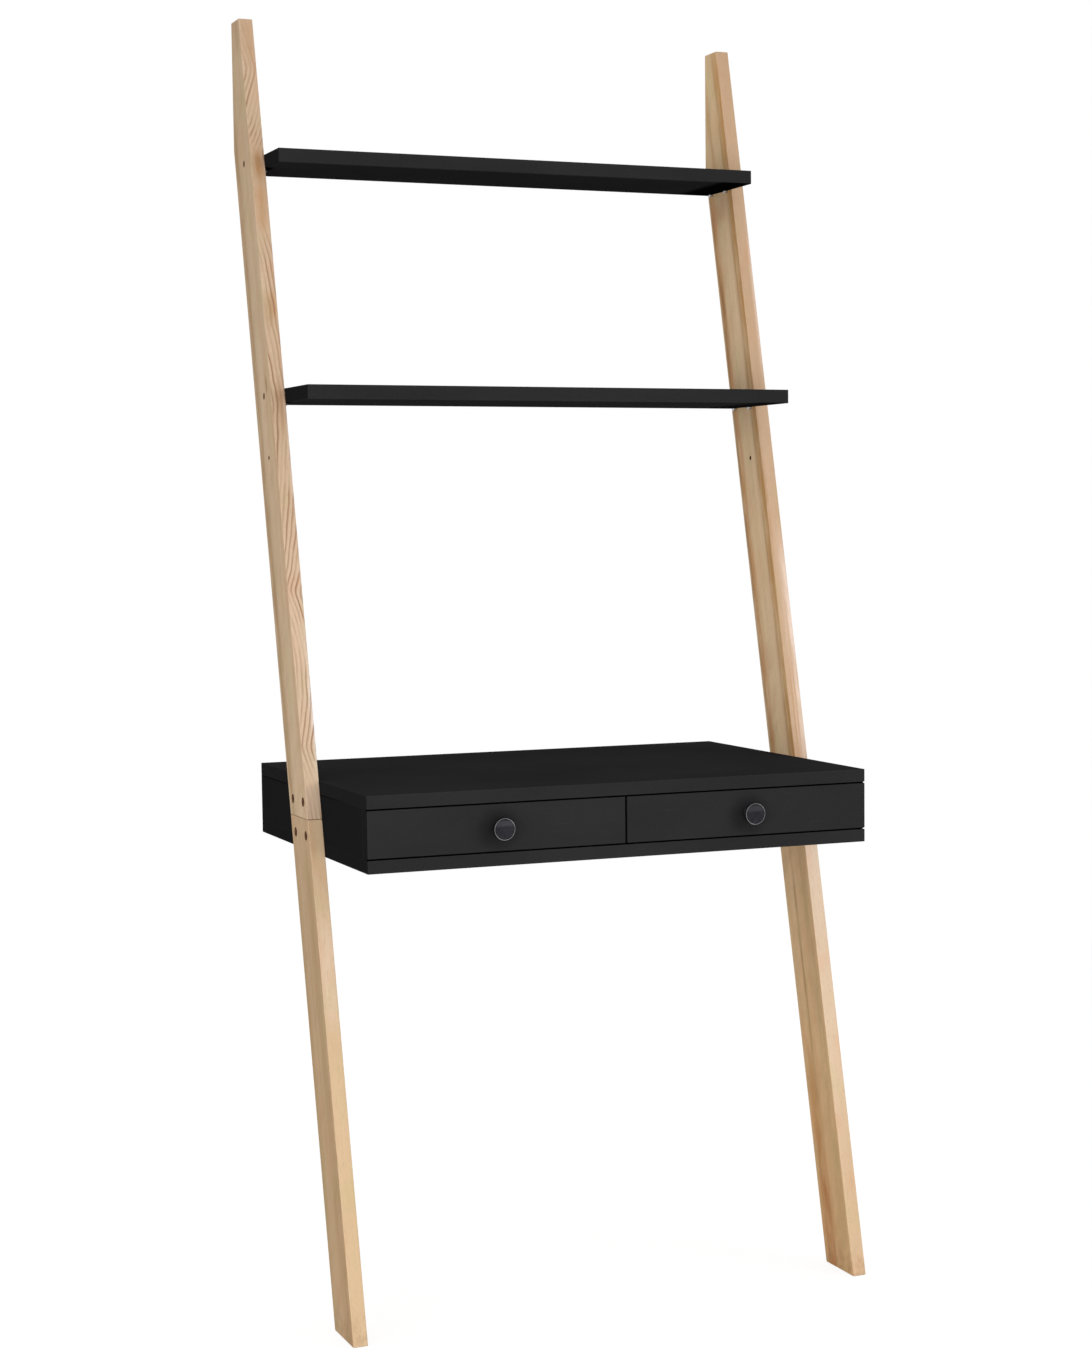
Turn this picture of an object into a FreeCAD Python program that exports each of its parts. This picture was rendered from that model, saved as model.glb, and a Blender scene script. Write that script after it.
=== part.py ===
import FreeCAD, Part
import os
import re
import Sketcher

# A ladder desk: two leaning uprights, each an upper and a lower rail, carry two shelves
# and a shallow desk box with two drawers side by side.
# Frame: X to the right, Y from the front (-Y) to the wall (+Y), Z up, millimetres.
# The origin is on the floor, in the middle of the width and of the depth.

# ---------------------------------------------------------------- driving dimensions

SIZES = {
    # desk box
    "desk_width": 742.0,
    "desk_depth": 517.0,
    "desk_height": 750.0,
    "board_thick": 18.0,
    "back_thick": 16.0,
    "board_ease": 0.6,
    # drawer fronts
    "front_tall": 64.0,
    "front_thick": 18.0,
    "front_gap": 2.0,
    "front_gap_deep": 4.0,
    "front_slack": 0.5,
    "front_split": 3.0,
    "front_standoff": 1.0,
    # leaning rails
    "rail_thick": 21.0,
    "rail_broad": 82.0,
    "rail_height": 1834.0,
    "rail_setback": 36.5,
    "rail_ease": 1.2,
    "lean_angle": 13.5,
    "joint_height": 698.0,
    "spare_hole_height": 1200.0,
    "spare_hole_reach": 37.5,
    "spare_hole_wide": 6.0,
    # shelves
    "shelf_thick": 20.0,
    "top_shelf_height": 1635.0,
    "top_shelf_depth": 154.0,
    "top_shelf_setback": 354.0,
    "middle_shelf_height": 1298.0,
    "middle_shelf_depth": 196.0,
    "middle_shelf_setback": 233.0,
    # bolts that hold the rails to the desk box
    "bolt_rise": 23.0,
    "bolt_front": 15.5,
    "bolt_back": 65.5,
    "bolt_wide": 6.0,
    "bolt_head_wide": 12.0,
    "bolt_head_tall": 4.0,
    "bolt_sink": 1.2,
    "bolt_recess_wide": 12.6,
    "bolt_key": 4.0,
    "insert_wide": 10.0,
    "insert_long": 13.0,
    "insert_fin_high": 0.8,
    "insert_fin_thick": 2.8,
    "insert_fin_pitch": 3.6,
    "metal_bevel": 0.5,
    # shelf screws and shelf pins
    "shelf_screw_reach": 36.0,
    "screw_wide": 5.0,
    "screw_head_wide": 8.6,
    "screw_head_tall": 2.4,
    "screw_long": 50.0,
    "pin_wide": 6.0,
    "pin_seat": 9.0,
    "pin_show": 6.0,
    "pin_groove_deep": 2.0,
    "pin_front": 15.5,
    "pin_back": 69.0,
    # dowels, cams and cam bolts
    "dowel_wide": 8.0,
    "dowel_long": 30.0,
    "dowel_seat": 10.0,
    "dowel_bevel": 0.8,
    "back_dowel_low": 20.0,
    "back_dowel_high": 48.0,
    "rail_dowel_long": 60.0,
    "rail_dowel_reach": 40.5,
    "cam_wide": 15.0,
    "cam_deep": 12.5,
    "cam_drop": 24.0,
    "cam_slot_wide": 1.6,
    "cam_slot_deep": 2.5,
    "cam_bolt_wide": 7.0,
    "cam_bolt_thread": 5.0,
    "cam_bolt_seat": 11.0,
    "cam_bolt_ball": 3.6,
    "cam_bolt_neck_low": 5.0,
    "cam_bolt_neck_high": 8.5,
    "cam_bolt_neck_wide": 3.8,
    "cam_front_reach": 30.0,
    "cam_back_reach": 60.0,
    "cam_dowel_reach": 32.0,
    # wall brackets
    "bracket_wide": 20.0,
    "bracket_sheet": 2.0,
    "bracket_leg": 30.0,
    "bracket_rise": 18.0,
    "bracket_hole": 5.0,
    "bracket_spread": 300.0,
    "base_screw_spread": 240.0,
    "small_screw_wide": 3.5,
    "small_screw_long": 16.0,
    "small_head_wide": 6.8,
    "small_head_tall": 1.6,
    "small_screw_bite": 9.0,
    "runner_screw_long": 11.5,
    "front_screw_bite": 12.0,
    # drawer boxes
    "drawer_board": 12.0,
    "drawer_tall": 48.0,
    "drawer_lift": 7.0,
    "drawer_deep": 400.0,
    "drawer_ease": 0.6,
    "drawer_bottom_thick": 4.0,
    "drawer_groove_rise": 8.0,
    "drawer_groove_deep": 6.0,
    "groove_slack": 0.2,
    "corner_dowel_wide": 6.0,
    "corner_dowel_long": 24.0,
    "corner_dowel_seat": 8.0,
    "corner_dowel_low": 22.0,
    "corner_dowel_high": 38.0,
    "front_screw_spread": 110.0,
    # runners
    "runner_space": 12.7,
    "runner_long": 400.0,
    "runner_rise": 22.0,
    "runner_sheet": 1.2,
    "fixed_runner_tall": 27.0,
    "fixed_runner_deep": 11.0,
    "moving_runner_tall": 17.8,
    "moving_runner_deep": 8.1,
    "runner_setback": 2.0,
    "runner_screw_first": 40.0,
    "runner_screw_pitch": 150.0,
    "cage_sheet": 0.6,
    "cage_tall": 21.8,
    "cage_reach": 3.4,
    "cage_deep": 7.0,
    "cage_long": 110.0,
    "ball_wide": 2.8,
    "ball_pitch": 22.0,
    "ball_reach": 7.5,
    # knobs
    "knob_reach": 23.0,
    "knob_wide": 30.0,
    "knob_disc_thick": 6.0,
    "knob_neck_wide": 10.0,
    "knob_neck_low": 6.0,
    "knob_neck_high": 10.4,
    "knob_foot_wide": 16.0,
    "knob_foot_thick": 1.6,
    "knob_flare": 4.0,
    "knob_dish": 0.7,
    "knob_rim": 1.1,
    "knob_bore_deep": 12.0,
    "knob_screw_wide": 4.0,
    "knob_screw_long": 40.0,
    "knob_screw_head_wide": 8.0,
    "knob_screw_head_tall": 2.4,
    # clearance between a fastener and its hole
    "hole_slack": 0.2,
    # how much deeper a blind hole is than the fastener in it
    "hole_overrun": 0.3,
}

# ---------------------------------------------------------------- places worked out from them

PLACES = {
    "front_y": "(knob_reach - desk_depth) / 2",
    "wall_y": "(knob_reach + desk_depth) / 2",
    "carcass_y": "front_y + front_thick + front_standoff",
    "back_y": "wall_y - back_thick",
    "outer_x": "desk_width / 2",
    "inner_x": "outer_x - board_thick",
    "lid_z": "desk_height - board_thick",
    "bay_z": "lid_z - 2 * front_gap - front_tall",
    "base_z": "bay_z - board_thick",
    "foot_y": "front_y + rail_setback",
    "rail_level": "rail_broad / cos(lean_angle)",
    "upper_bolt_z": "joint_height + bolt_rise",
    "lower_bolt_z": "joint_height - bolt_rise",
    "bolt_seat": "bolt_head_tall + bolt_sink",
    "bolt_long": "rail_thick - bolt_sink + insert_long",
    "top_shelf_y": "front_y + top_shelf_setback",
    "middle_shelf_y": "front_y + middle_shelf_setback",
    "cam_z": "lid_z - cam_drop",
    "cam_bolt_long": "cam_bolt_seat + cam_drop + cam_bolt_wide / 2",
    "front_z": "bay_z + front_gap",
    "front_step": "front_gap - front_slack",
    "drawer_y": "front_y + front_thick",
    "drawer_end_y": "drawer_y + drawer_deep",
    "drawer_z": "bay_z + drawer_lift",
    "drawer_low_x": "board_thick / 2 + runner_space",
    "drawer_high_x": "inner_x - runner_space",
    "groove_z": "drawer_z + drawer_groove_rise",
    "runner_y": "front_y + front_thick + front_standoff + runner_setback",
    "runner_z": "bay_z + runner_rise",
    "knob_x": "(outer_x + front_split / 2) / 2",
    "knob_z": "front_z + front_tall / 2",
}

RIGHT = 1
LEFT = -1
SIDES = {"left": LEFT, "right": RIGHT}
UP = FreeCAD.Vector(0, 0, 1)

document = FreeCAD.newDocument("ladder_desk")
sheet = document.addObject("Spreadsheet::Sheet", "Sizes")
nodes = []


def fill_sheet():
    """Writes each driving dimension in a row of its own: its name, its value and the alias."""
    for row, (name, value) in enumerate(SIZES.items(), start=1):
        sheet.set(f"A{row}", name)
        sheet.set(f"B{row}", str(value))
        sheet.setAlias(f"B{row}", name)
    document.recompute()


def bound(text):
    """Turns size names into references to the sheet, and place names into their formulas."""
    def swap(match):
        word = match.group(0)
        if word in SIZES:
            return "Sizes." + word
        if word in PLACES:
            return "(" + bound(PLACES[word]) + ")"
        return word
    return re.sub(r"[a-z][a-z_]+", swap, str(text))


def number(text):
    """The present value of a formula, for the first draft of a sketch."""
    result = sheet.evalExpression(bound(text))
    return float(getattr(result, "Value", result))


def mirrored(side, low, high):
    """The low and high X of a piece given for the right side, on the side asked for."""
    if side == RIGHT:
        return low, high
    return f"-({high})", f"-({low})"


def signed(side, text):
    """An X given for the right side, on the side asked for."""
    return text if side == RIGHT else f"-({text})"


def place(piece, x, y, z, rotation=None):
    """Puts a piece where three formulas say, turned by a fixed rotation."""
    if rotation is not None:
        piece.Placement = FreeCAD.Placement(FreeCAD.Vector(), rotation)
    for axis, text in zip("xyz", (x, y, z)):
        piece.setExpression(".Placement.Base." + axis, bound(text))


# ---------------------------------------------------------------- sketches and features

# Each axis has the origin plane it is normal to. The plane normal to Y faces -Y.
PLANE_ROLES = {"x": "YZ_Plane", "y": "XZ_Plane", "z": "XY_Plane"}


def new_body(label):
    body = document.addObject("PartDesign::Body", label)
    body.Label = label
    return body


def new_sketch(body, axis, offset="0"):
    """An empty sketch across one axis of its body, at an offset along that axis."""
    plane = [item for item in body.Origin.OriginFeatures if item.Role == PLANE_ROLES[axis]][0]
    sketch = body.newObject("Sketcher::SketchObject", body.Name + "_sketch")
    sketch.AttachmentSupport = (plane, [""])
    sketch.MapMode = "FlatFace"
    if offset != "0":
        distance = f"-({offset})" if axis == "y" else offset
        sketch.setExpression("AttachmentOffset.Base.z", bound(distance))
    return sketch


def tie(sketch, kind, geometry, point, text):
    """Ties one coordinate of a point to a formula, measured from the sketch's origin."""
    constraint = Sketcher.Constraint(kind, -1, 1, geometry, point, number(text))
    index = sketch.addConstraint(constraint)
    sketch.setExpression(f"Constraints[{index}]", bound(text))


def draw_polygon(sketch, corners):
    """A closed outline through corners that are pairs of formulas."""
    spots = [FreeCAD.Vector(number(x), number(y), 0) for x, y in corners]
    first = sketch.GeometryCount
    count = len(corners)
    for index, spot in enumerate(spots):
        sketch.addGeometry(Part.LineSegment(spot, spots[(index + 1) % count]), False)
    for index in range(count):
        following = first + (index + 1) % count
        sketch.addConstraint(Sketcher.Constraint("Coincident", first + index, 2, following, 1))
    for index, (x, y) in enumerate(corners):
        tie(sketch, "DistanceX", first + index, 1, x)
        tie(sketch, "DistanceY", first + index, 1, y)


def draw_circles(sketch, centres, diameter):
    """Circles of one diameter, with centres that are pairs of formulas."""
    for x, y in centres:
        middle = FreeCAD.Vector(number(x), number(y), 0)
        circle = Part.Circle(middle, FreeCAD.Vector(0, 0, 1), number(diameter) / 2)
        index = sketch.addGeometry(circle, False)
        tie(sketch, "DistanceX", index, 3, x)
        tie(sketch, "DistanceY", index, 3, y)
        size = sketch.addConstraint(Sketcher.Constraint("Diameter", index, number(diameter)))
        sketch.setExpression(f"Constraints[{size}]", bound(diameter))


def pad(body, sketch, length, axis):
    """Pads a sketch towards the positive end of its axis."""
    feature = body.newObject("PartDesign::Pad", body.Name + "_pad")
    feature.Profile = sketch
    feature.setExpression("Length", bound(length))
    feature.Reversed = axis == "y"
    sketch.Visibility = False
    document.recompute()
    return feature


def pocket(body, sketch, depth, axis, into):
    """Cuts a sketch into the body, towards the + or - end of its axis."""
    feature = body.newObject("PartDesign::Pocket", body.Name + "_pocket")
    feature.Profile = sketch
    feature.setExpression("Length", bound(depth))
    feature.Reversed = (into == "+") != (axis == "y")
    sketch.Visibility = False
    return feature


def ease_edges(body, feature, radius):
    """Rounds every edge of a feature by a small radius."""
    edges = [f"Edge{index + 1}" for index in range(len(feature.Shape.Edges))]
    fillet = body.newObject("PartDesign::Fillet", body.Name + "_ease")
    fillet.Base = (feature, edges)
    fillet.setExpression("Radius", bound(radius))
    document.recompute()
    return fillet


def node(piece):
    """Marks a finished piece as a node of the model."""
    nodes.append(piece)
    return piece


# ---------------------------------------------------------------- flat boards

class Board:
    """A flat board between a low and a high corner, each three formulas in the model's frame.
    Its side outline is a rectangle, or the profile given as depth and height pairs."""

    def __init__(self, label, low, high, ease="board_ease", profile=None):
        self.low = low
        self.body = node(new_body(label))
        width, depth, height = (f"({top}) - ({bottom})" for bottom, top in zip(low, high))
        sketch = new_sketch(self.body, "x")
        draw_polygon(sketch, profile or [("0", "0"), (depth, "0"), (depth, height), ("0", height)])
        block = pad(self.body, sketch, width, "x")
        if ease:
            ease_edges(self.body, block, ease)
        place(self.body, *low)

    def local(self, spot):
        return [f"({value}) - ({base})" for value, base in zip(spot, self.low)]

    def drill(self, axis, face, into, spots, diameter, depth):
        """Drills round holes from a face into the board; spots are in the model's frame."""
        across = ["xyz".index(letter) for letter in "xyz" if letter != axis]
        offset = f"({face}) - ({self.low['xyz'.index(axis)]})"
        sketch = new_sketch(self.body, axis, offset)
        centres = [[self.local(spot)[index] for index in across] for spot in spots]
        draw_circles(sketch, centres, diameter)
        pocket(self.body, sketch, depth, axis, into)

    def groove(self, axis, face, into, low, high, depth):
        """Cuts a rectangular groove from a face, between two corners in the model's frame."""
        across = ["xyz".index(letter) for letter in "xyz" if letter != axis]
        offset = f"({face}) - ({self.low['xyz'.index(axis)]})"
        near, far = self.local(low), self.local(high)
        one, two = across
        corners = [(near[one], near[two]), (far[one], near[two]),
                   (far[one], far[two]), (near[one], far[two])]
        sketch = new_sketch(self.body, axis, offset)
        draw_polygon(sketch, corners)
        pocket(self.body, sketch, depth, axis, into)


# ---------------------------------------------------------------- turned pieces and fasteners

def turned(label, outline):
    """A round body: a half outline of radius and height pairs, turned once about Z."""
    body = new_body(label)
    sketch = new_sketch(body, "y")
    draw_polygon(sketch, outline)
    turn = body.newObject("PartDesign::Revolution", label + "_turn")
    turn.Profile = sketch
    turn.ReferenceAxis = (sketch, ["V_Axis"])
    turn.Angle = 360
    sketch.Visibility = False
    document.recompute()
    return body


def dowel_pattern(label, wide, long):
    """A dowel standing on its end, with small bevels."""
    radius, bevel = f"{wide} / 2", "dowel_bevel"
    return turned(label, [
        ("0", "0"), (f"{radius} - {bevel}", "0"), (radius, bevel),
        (radius, f"{long} - {bevel}"), (f"{radius} - {bevel}", long), ("0", long)])


def screw_pattern(label, wide, long, head_wide, head_tall, countersunk=True):
    """A screw with its tip at the bottom: a countersunk or a flat-bottomed head on top."""
    radius, head = f"{wide} / 2", f"{head_wide} / 2"
    under = f"{long} - {head_tall}"
    outline = [("0", "0"), (f"{wide} / 6", "0"), (radius, wide), (radius, under)]
    if countersunk:
        outline += [(head, f"{long} - metal_bevel"), (head, long)]
    else:
        outline += [(head, under), (head, f"{long} - metal_bevel"), (f"{head} - metal_bevel", long)]
    body = turned(label, outline + [("0", long)])
    add_cross_slot(body, f"{head_wide} * 3 / 5", f"{head_wide} / 6", long, f"{head_tall} / 2")
    return body


def add_cross_slot(body, span, width, top, depth):
    """Sinks a cross for the driver into the head of a screw."""
    for long, short in ((span, width), (width, span)):
        sketch = new_sketch(body, "z", top)
        draw_polygon(sketch, [
            (f"-({long}) / 2", f"-({short}) / 2"), (f"({long}) / 2", f"-({short}) / 2"),
            (f"({long}) / 2", f"({short}) / 2"), (f"-({long}) / 2", f"({short}) / 2")])
        pocket(body, sketch, depth, "z", "-")


def bolt_pattern():
    """The connecting bolt, tip down, with a flat bevelled head and a hexagon socket."""
    under, shank, head = "bolt_long - bolt_head_tall", "bolt_wide / 2", "bolt_head_wide / 2"
    body = turned("bolt_pattern", [
        ("0", "0"), (f"{shank} - metal_bevel", "0"), (shank, "metal_bevel"), (shank, under),
        (head, under), (head, "bolt_long - metal_bevel"), (f"{head} - metal_bevel", "bolt_long"),
        ("0", "bolt_long")])
    sketch = new_sketch(body, "z", "bolt_long")
    radius = "(bolt_key / 2 / cos(30))"
    corners = [(f"{radius} * cos({angle})", f"{radius} * sin({angle})") for angle in range(0, 360, 60)]
    draw_polygon(sketch, corners)
    pocket(body, sketch, "bolt_head_tall * 2 / 3", "z", "-")
    return body


def insert_pattern():
    """A threaded insert: a sleeve with three bevelled fins round it, mouth up."""
    fin, bore = "insert_wide / 2", "bolt_wide / 2 + hole_slack / 2"
    sleeve = f"{fin} - insert_fin_high"
    outline = [(bore, "0"), (sleeve, "0")]
    for step in range(3):
        low = f"insert_fin_high + insert_fin_pitch * {step}"
        high = f"{low} + insert_fin_thick"
        outline += [(sleeve, low), (fin, f"{low} + insert_fin_high"),
                    (fin, f"{high} - insert_fin_high"), (sleeve, high)]
    outline += [(sleeve, "insert_long"), (bore, "insert_long")]
    return turned("insert_pattern", outline)


def cam_pattern():
    """A cam lock: a short drum with a cross slot in its face, and a mouth in its side."""
    rim = "cam_wide / 2"
    body = turned("cam_pattern", [
        ("0", "0"), (f"{rim} - metal_bevel", "0"), (rim, "metal_bevel"),
        (rim, "cam_deep - metal_bevel"), (f"{rim} - metal_bevel", "cam_deep"), ("0", "cam_deep")])
    add_cross_slot(body, "cam_wide * 3 / 5", "cam_slot_wide", "cam_deep", "cam_slot_deep")
    sketch = new_sketch(body, "x", "-(cam_wide / 2)")
    middle = "cam_deep - board_thick / 2"
    mouth = "(cam_bolt_wide / 2 + hole_slack)"
    draw_polygon(sketch, [
        (f"-{mouth}", f"{middle} - {mouth}"), (mouth, f"{middle} - {mouth}"),
        (mouth, f"{middle} + {mouth}"), (f"-{mouth}", f"{middle} + {mouth}")])
    pocket(body, sketch, "cam_wide / 2 + cam_bolt_wide / 2 + hole_overrun", "x", "+")
    return body


def cam_bolt_pattern():
    """A cam bolt, thread up: a ball end below a thin neck, then the shank and the thread."""
    ball, neck, thread = "cam_bolt_wide / 2", "cam_bolt_neck_wide / 2", "cam_bolt_thread / 2"
    shoulder = "cam_bolt_long - cam_bolt_seat"
    return turned("cam_bolt_pattern", [
        ("0", "0"), (f"{ball} - metal_bevel", "0"), (ball, "metal_bevel"), (ball, "cam_bolt_ball"),
        (neck, "cam_bolt_neck_low"), (neck, "cam_bolt_neck_high"),
        (ball, "cam_bolt_neck_high + metal_bevel"), (ball, shoulder), (thread, shoulder),
        (thread, "cam_bolt_long - metal_bevel"), (f"{thread} - metal_bevel", "cam_bolt_long"),
        ("0", "cam_bolt_long")])


def copies(label, placed):
    """One node of like pieces: each entry is a pattern, its place and its rotation."""
    links = []
    for pattern, spot, rotation in placed:
        link = document.addObject("App::Link", f"{label}_copy")
        link.LinkedObject = pattern
        place(link, *spot, rotation)
        links.append(link)
    group = document.addObject("Part::Compound", label)
    group.Label = label
    group.Links = links
    return node(group)


def pointing(x, y, z):
    """The rotation that turns a pattern's top towards a direction."""
    return FreeCAD.Rotation(UP, FreeCAD.Vector(x, y, z))


# ---------------------------------------------------------------- leaning rails

RAIL_PROFILES = {
    "lower": [
        ("0", "0"), ("rail_broad", "rail_broad * tan(lean_angle)"),
        ("rail_broad", "joint_height / cos(lean_angle) + rail_broad * tan(lean_angle)"),
        ("0", "joint_height / cos(lean_angle)")],
    "upper": [
        ("0", "joint_height / cos(lean_angle)"),
        ("rail_broad", "joint_height / cos(lean_angle) + rail_broad * tan(lean_angle)"),
        ("rail_broad", "(wall_y - foot_y - rail_level) / sin(lean_angle)"
                       " + rail_broad * tan(lean_angle)"),
        ("(wall_y - foot_y) * cos(lean_angle) - rail_height * sin(lean_angle)",
         "(wall_y - foot_y) * sin(lean_angle) + rail_height * cos(lean_angle)"),
        ("0", "rail_height / cos(lean_angle)")],
}
LEAN = FreeCAD.Rotation(FreeCAD.Vector(1, 0, 0), -SIZES["lean_angle"])


def along_rail(height, reach):
    """A point on the rail's broad face: its level reach behind the front edge, at a height."""
    return (f"({reach}) * cos(lean_angle)",
            f"({height}) / cos(lean_angle) + ({reach}) * sin(lean_angle)")


def rail_y(height, reach):
    """The Y of the same point in the model's frame."""
    return f"foot_y + ({height}) * tan(lean_angle) + ({reach})"


def bore_rail(body, side, spots, diameter, depth, outer=True):
    """Drills level holes across the rail from its outer or its inner face."""
    from_high = (side == RIGHT) == outer
    sketch = new_sketch(body, "x", "rail_thick" if from_high else "0")
    draw_circles(sketch, spots, diameter)
    pocket(body, sketch, depth, "x", "-" if from_high else "+")


def rail(side_name, part):
    """One rail: its side outline padded to the thickness, eased, drilled and leant back."""
    side = SIDES[side_name]
    body = node(new_body(f"{part}_rail_{side_name}"))
    sketch = new_sketch(body, "x")
    draw_polygon(sketch, RAIL_PROFILES[part])
    block = pad(body, sketch, "rail_thick", "x")
    ease_edges(body, block, "rail_ease")
    bolt_z = "upper_bolt_z" if part == "upper" else "lower_bolt_z"
    bolts = [along_rail(bolt_z, "bolt_front"), along_rail(bolt_z, "bolt_back")]
    bore_rail(body, side, bolts, "bolt_wide + hole_slack", "rail_thick")
    bore_rail(body, side, bolts, "bolt_recess_wide", "bolt_seat")
    drill_rail_dowel(body, part)
    if part == "upper":
        drill_shelf_fixings(body, side)
    place(body, mirrored(side, "outer_x", "outer_x + rail_thick")[0], "foot_y", "0", LEAN)


def drill_rail_dowel(body, part):
    """Drills the hole for the joint dowel, along the rail, from its butt end."""
    across, along = along_rail("joint_height", "rail_dowel_reach")
    half = "rail_dowel_long / 2"
    end = f"{along} - {half}" if part == "lower" else f"{along} + {half}"
    sketch = new_sketch(body, "z", end)
    draw_circles(sketch, [("rail_thick / 2", across)], "dowel_wide + hole_slack")
    pocket(body, sketch, f"{half} + rail_broad", "z", "+" if part == "lower" else "-")


PIN_REACHES = ("pin_front", "pin_back")


def pin_height(shelf):
    """The height of the middle of a shelf's pins, which lie in grooves in its underside."""
    return f"{shelf}_height - shelf_thick + pin_groove_deep - pin_wide / 2"


SHELF_PIN_SPOTS = [
    (pin_height(shelf), reach) for shelf in ("top_shelf", "middle_shelf") for reach in PIN_REACHES]
SHELF_SCREW_SPOTS = [
    (f"{shelf}_height - shelf_thick / 2", "shelf_screw_reach")
    for shelf in ("top_shelf", "middle_shelf")]


def drill_shelf_fixings(body, side):
    """Drills an upper rail for the shelf screws, the shelf pins and the spare hole."""
    screws = [along_rail(height, reach) for height, reach in SHELF_SCREW_SPOTS]
    pins = [along_rail(height, reach) for height, reach in SHELF_PIN_SPOTS]
    spare = [along_rail("spare_hole_height", "spare_hole_reach")]
    bore_rail(body, side, screws, "screw_wide + hole_slack", "rail_thick")
    bore_rail(body, side, screws, "screw_head_wide + hole_slack", "screw_head_tall + hole_slack / 2")
    bore_rail(body, side, pins, "pin_wide + hole_slack", "pin_seat + hole_overrun", outer=False)
    bore_rail(body, side, spare, "spare_hole_wide", "rail_thick")


def rails():
    for side_name in SIDES:
        for part in ("upper", "lower"):
            rail(side_name, part)
    dowel = dowel_pattern("rail_dowel_pattern", "dowel_wide", "rail_dowel_long")
    placed = []
    for side in (LEFT, RIGHT):
        tip_z = "joint_height - rail_dowel_long / 2 * cos(lean_angle)"
        tip_y = f"{rail_y('joint_height', 'rail_dowel_reach')} - rail_dowel_long / 2 * sin(lean_angle)"
        placed.append((dowel, (signed(side, "outer_x + rail_thick / 2"), tip_y, tip_z), LEAN))
    copies("rail_joint_dowels", placed)


# ---------------------------------------------------------------- shelves and their fixings

def shelf(label):
    """One shelf: each end has a pilot hole for the rail screw and two grooves for the pins."""
    low = ("-outer_x", f"{label}_y", f"{label}_height - shelf_thick")
    high = ("outer_x", f"{label}_y + {label}_depth", f"{label}_height")
    board = Board(label, low, high)
    middle = f"{label}_height - shelf_thick / 2"
    spot = ("0", rail_y(middle, "shelf_screw_reach"), middle)
    depth = "screw_long - rail_thick + hole_overrun"
    half_wide = "(pin_wide / 2 + groove_slack)"
    for side in (LEFT, RIGHT):
        board.drill("x", signed(side, "outer_x"), "-" if side == RIGHT else "+", [spot],
                    "screw_wide + hole_slack", depth)
        low_x, high_x = mirrored(side, "outer_x - pin_show - groove_slack", "outer_x + hole_overrun")
        for reach in PIN_REACHES:
            pin_y = rail_y(pin_height(label), reach)
            board.groove("z", low[2], "+", (low_x, f"{pin_y} - {half_wide}", "0"),
                         (high_x, f"{pin_y} + {half_wide}", "0"), "pin_groove_deep")
    return board


def shelves():
    top = shelf("top_shelf")
    shelf("middle_shelf")
    screw = screw_pattern("shelf_screw_pattern", "screw_wide", "screw_long",
                          "screw_head_wide", "screw_head_tall")
    pin = dowel_pattern("shelf_pin_pattern", "pin_wide", "pin_seat + pin_show")
    screws, pins = [], []
    for side in (LEFT, RIGHT):
        for height, reach in SHELF_SCREW_SPOTS:
            tip = signed(side, "outer_x + rail_thick - screw_long")
            screws.append((screw, (tip, rail_y(height, reach), height), pointing(side, 0, 0)))
        for height, reach in SHELF_PIN_SPOTS:
            tip = signed(side, "outer_x - pin_show")
            pins.append((pin, (tip, rail_y(height, reach), height), pointing(side, 0, 0)))
    copies("shelf_screws", screws)
    copies("shelf_pins", pins)
    return top


# ---------------------------------------------------------------- wall brackets

def wall_brackets(shelf_board):
    """Two angle brackets on the back of the top shelf, with a screw each into the shelf."""
    pattern = new_body("wall_bracket_pattern")
    sketch = new_sketch(pattern, "x")
    draw_polygon(sketch, [
        ("0", "0"), ("bracket_leg", "0"), ("bracket_leg", "bracket_rise"),
        ("bracket_leg - bracket_sheet", "bracket_rise"),
        ("bracket_leg - bracket_sheet", "bracket_sheet"), ("0", "bracket_sheet")])
    pad(pattern, sketch, "bracket_wide", "x")
    shelf_hole = new_sketch(pattern, "z", "bracket_sheet")
    draw_circles(shelf_hole, [("bracket_wide / 2", "bracket_leg / 3")], "small_screw_wide + hole_slack")
    pocket(pattern, shelf_hole, "bracket_sheet", "z", "-")
    wall_hole = new_sketch(pattern, "y", "bracket_leg")
    draw_circles(wall_hole, [("bracket_wide / 2", "bracket_rise * 3 / 5")], "bracket_hole")
    pocket(pattern, wall_hole, "bracket_sheet", "y", "-")
    screw = screw_pattern("bracket_screw_pattern", "small_screw_wide", "small_screw_long",
                          "small_head_wide", "small_head_tall", countersunk=False)
    brackets, screws, holes = [], [], []
    for side in (LEFT, RIGHT):
        middle = signed(side, "bracket_spread")
        brackets.append((pattern, (f"{middle} - bracket_wide / 2", "wall_y - bracket_leg",
                                   "top_shelf_height"), FreeCAD.Rotation()))
        spot_y = "wall_y - bracket_leg * 2 / 3"
        tip_z = "top_shelf_height + bracket_sheet + small_head_tall - small_screw_long"
        screws.append((screw, (middle, spot_y, tip_z), FreeCAD.Rotation()))
        holes.append((middle, spot_y, "0"))
    shelf_board.drill("z", "top_shelf_height", "-", holes, "small_screw_wide + hole_slack",
                      "small_screw_long - small_head_tall - bracket_sheet + hole_overrun")
    copies("wall_brackets", brackets)
    copies("wall_bracket_screws", screws)


# ---------------------------------------------------------------- desk box

CAM_REACHES = ("carcass_y + cam_front_reach", "back_y - cam_back_reach")


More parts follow.
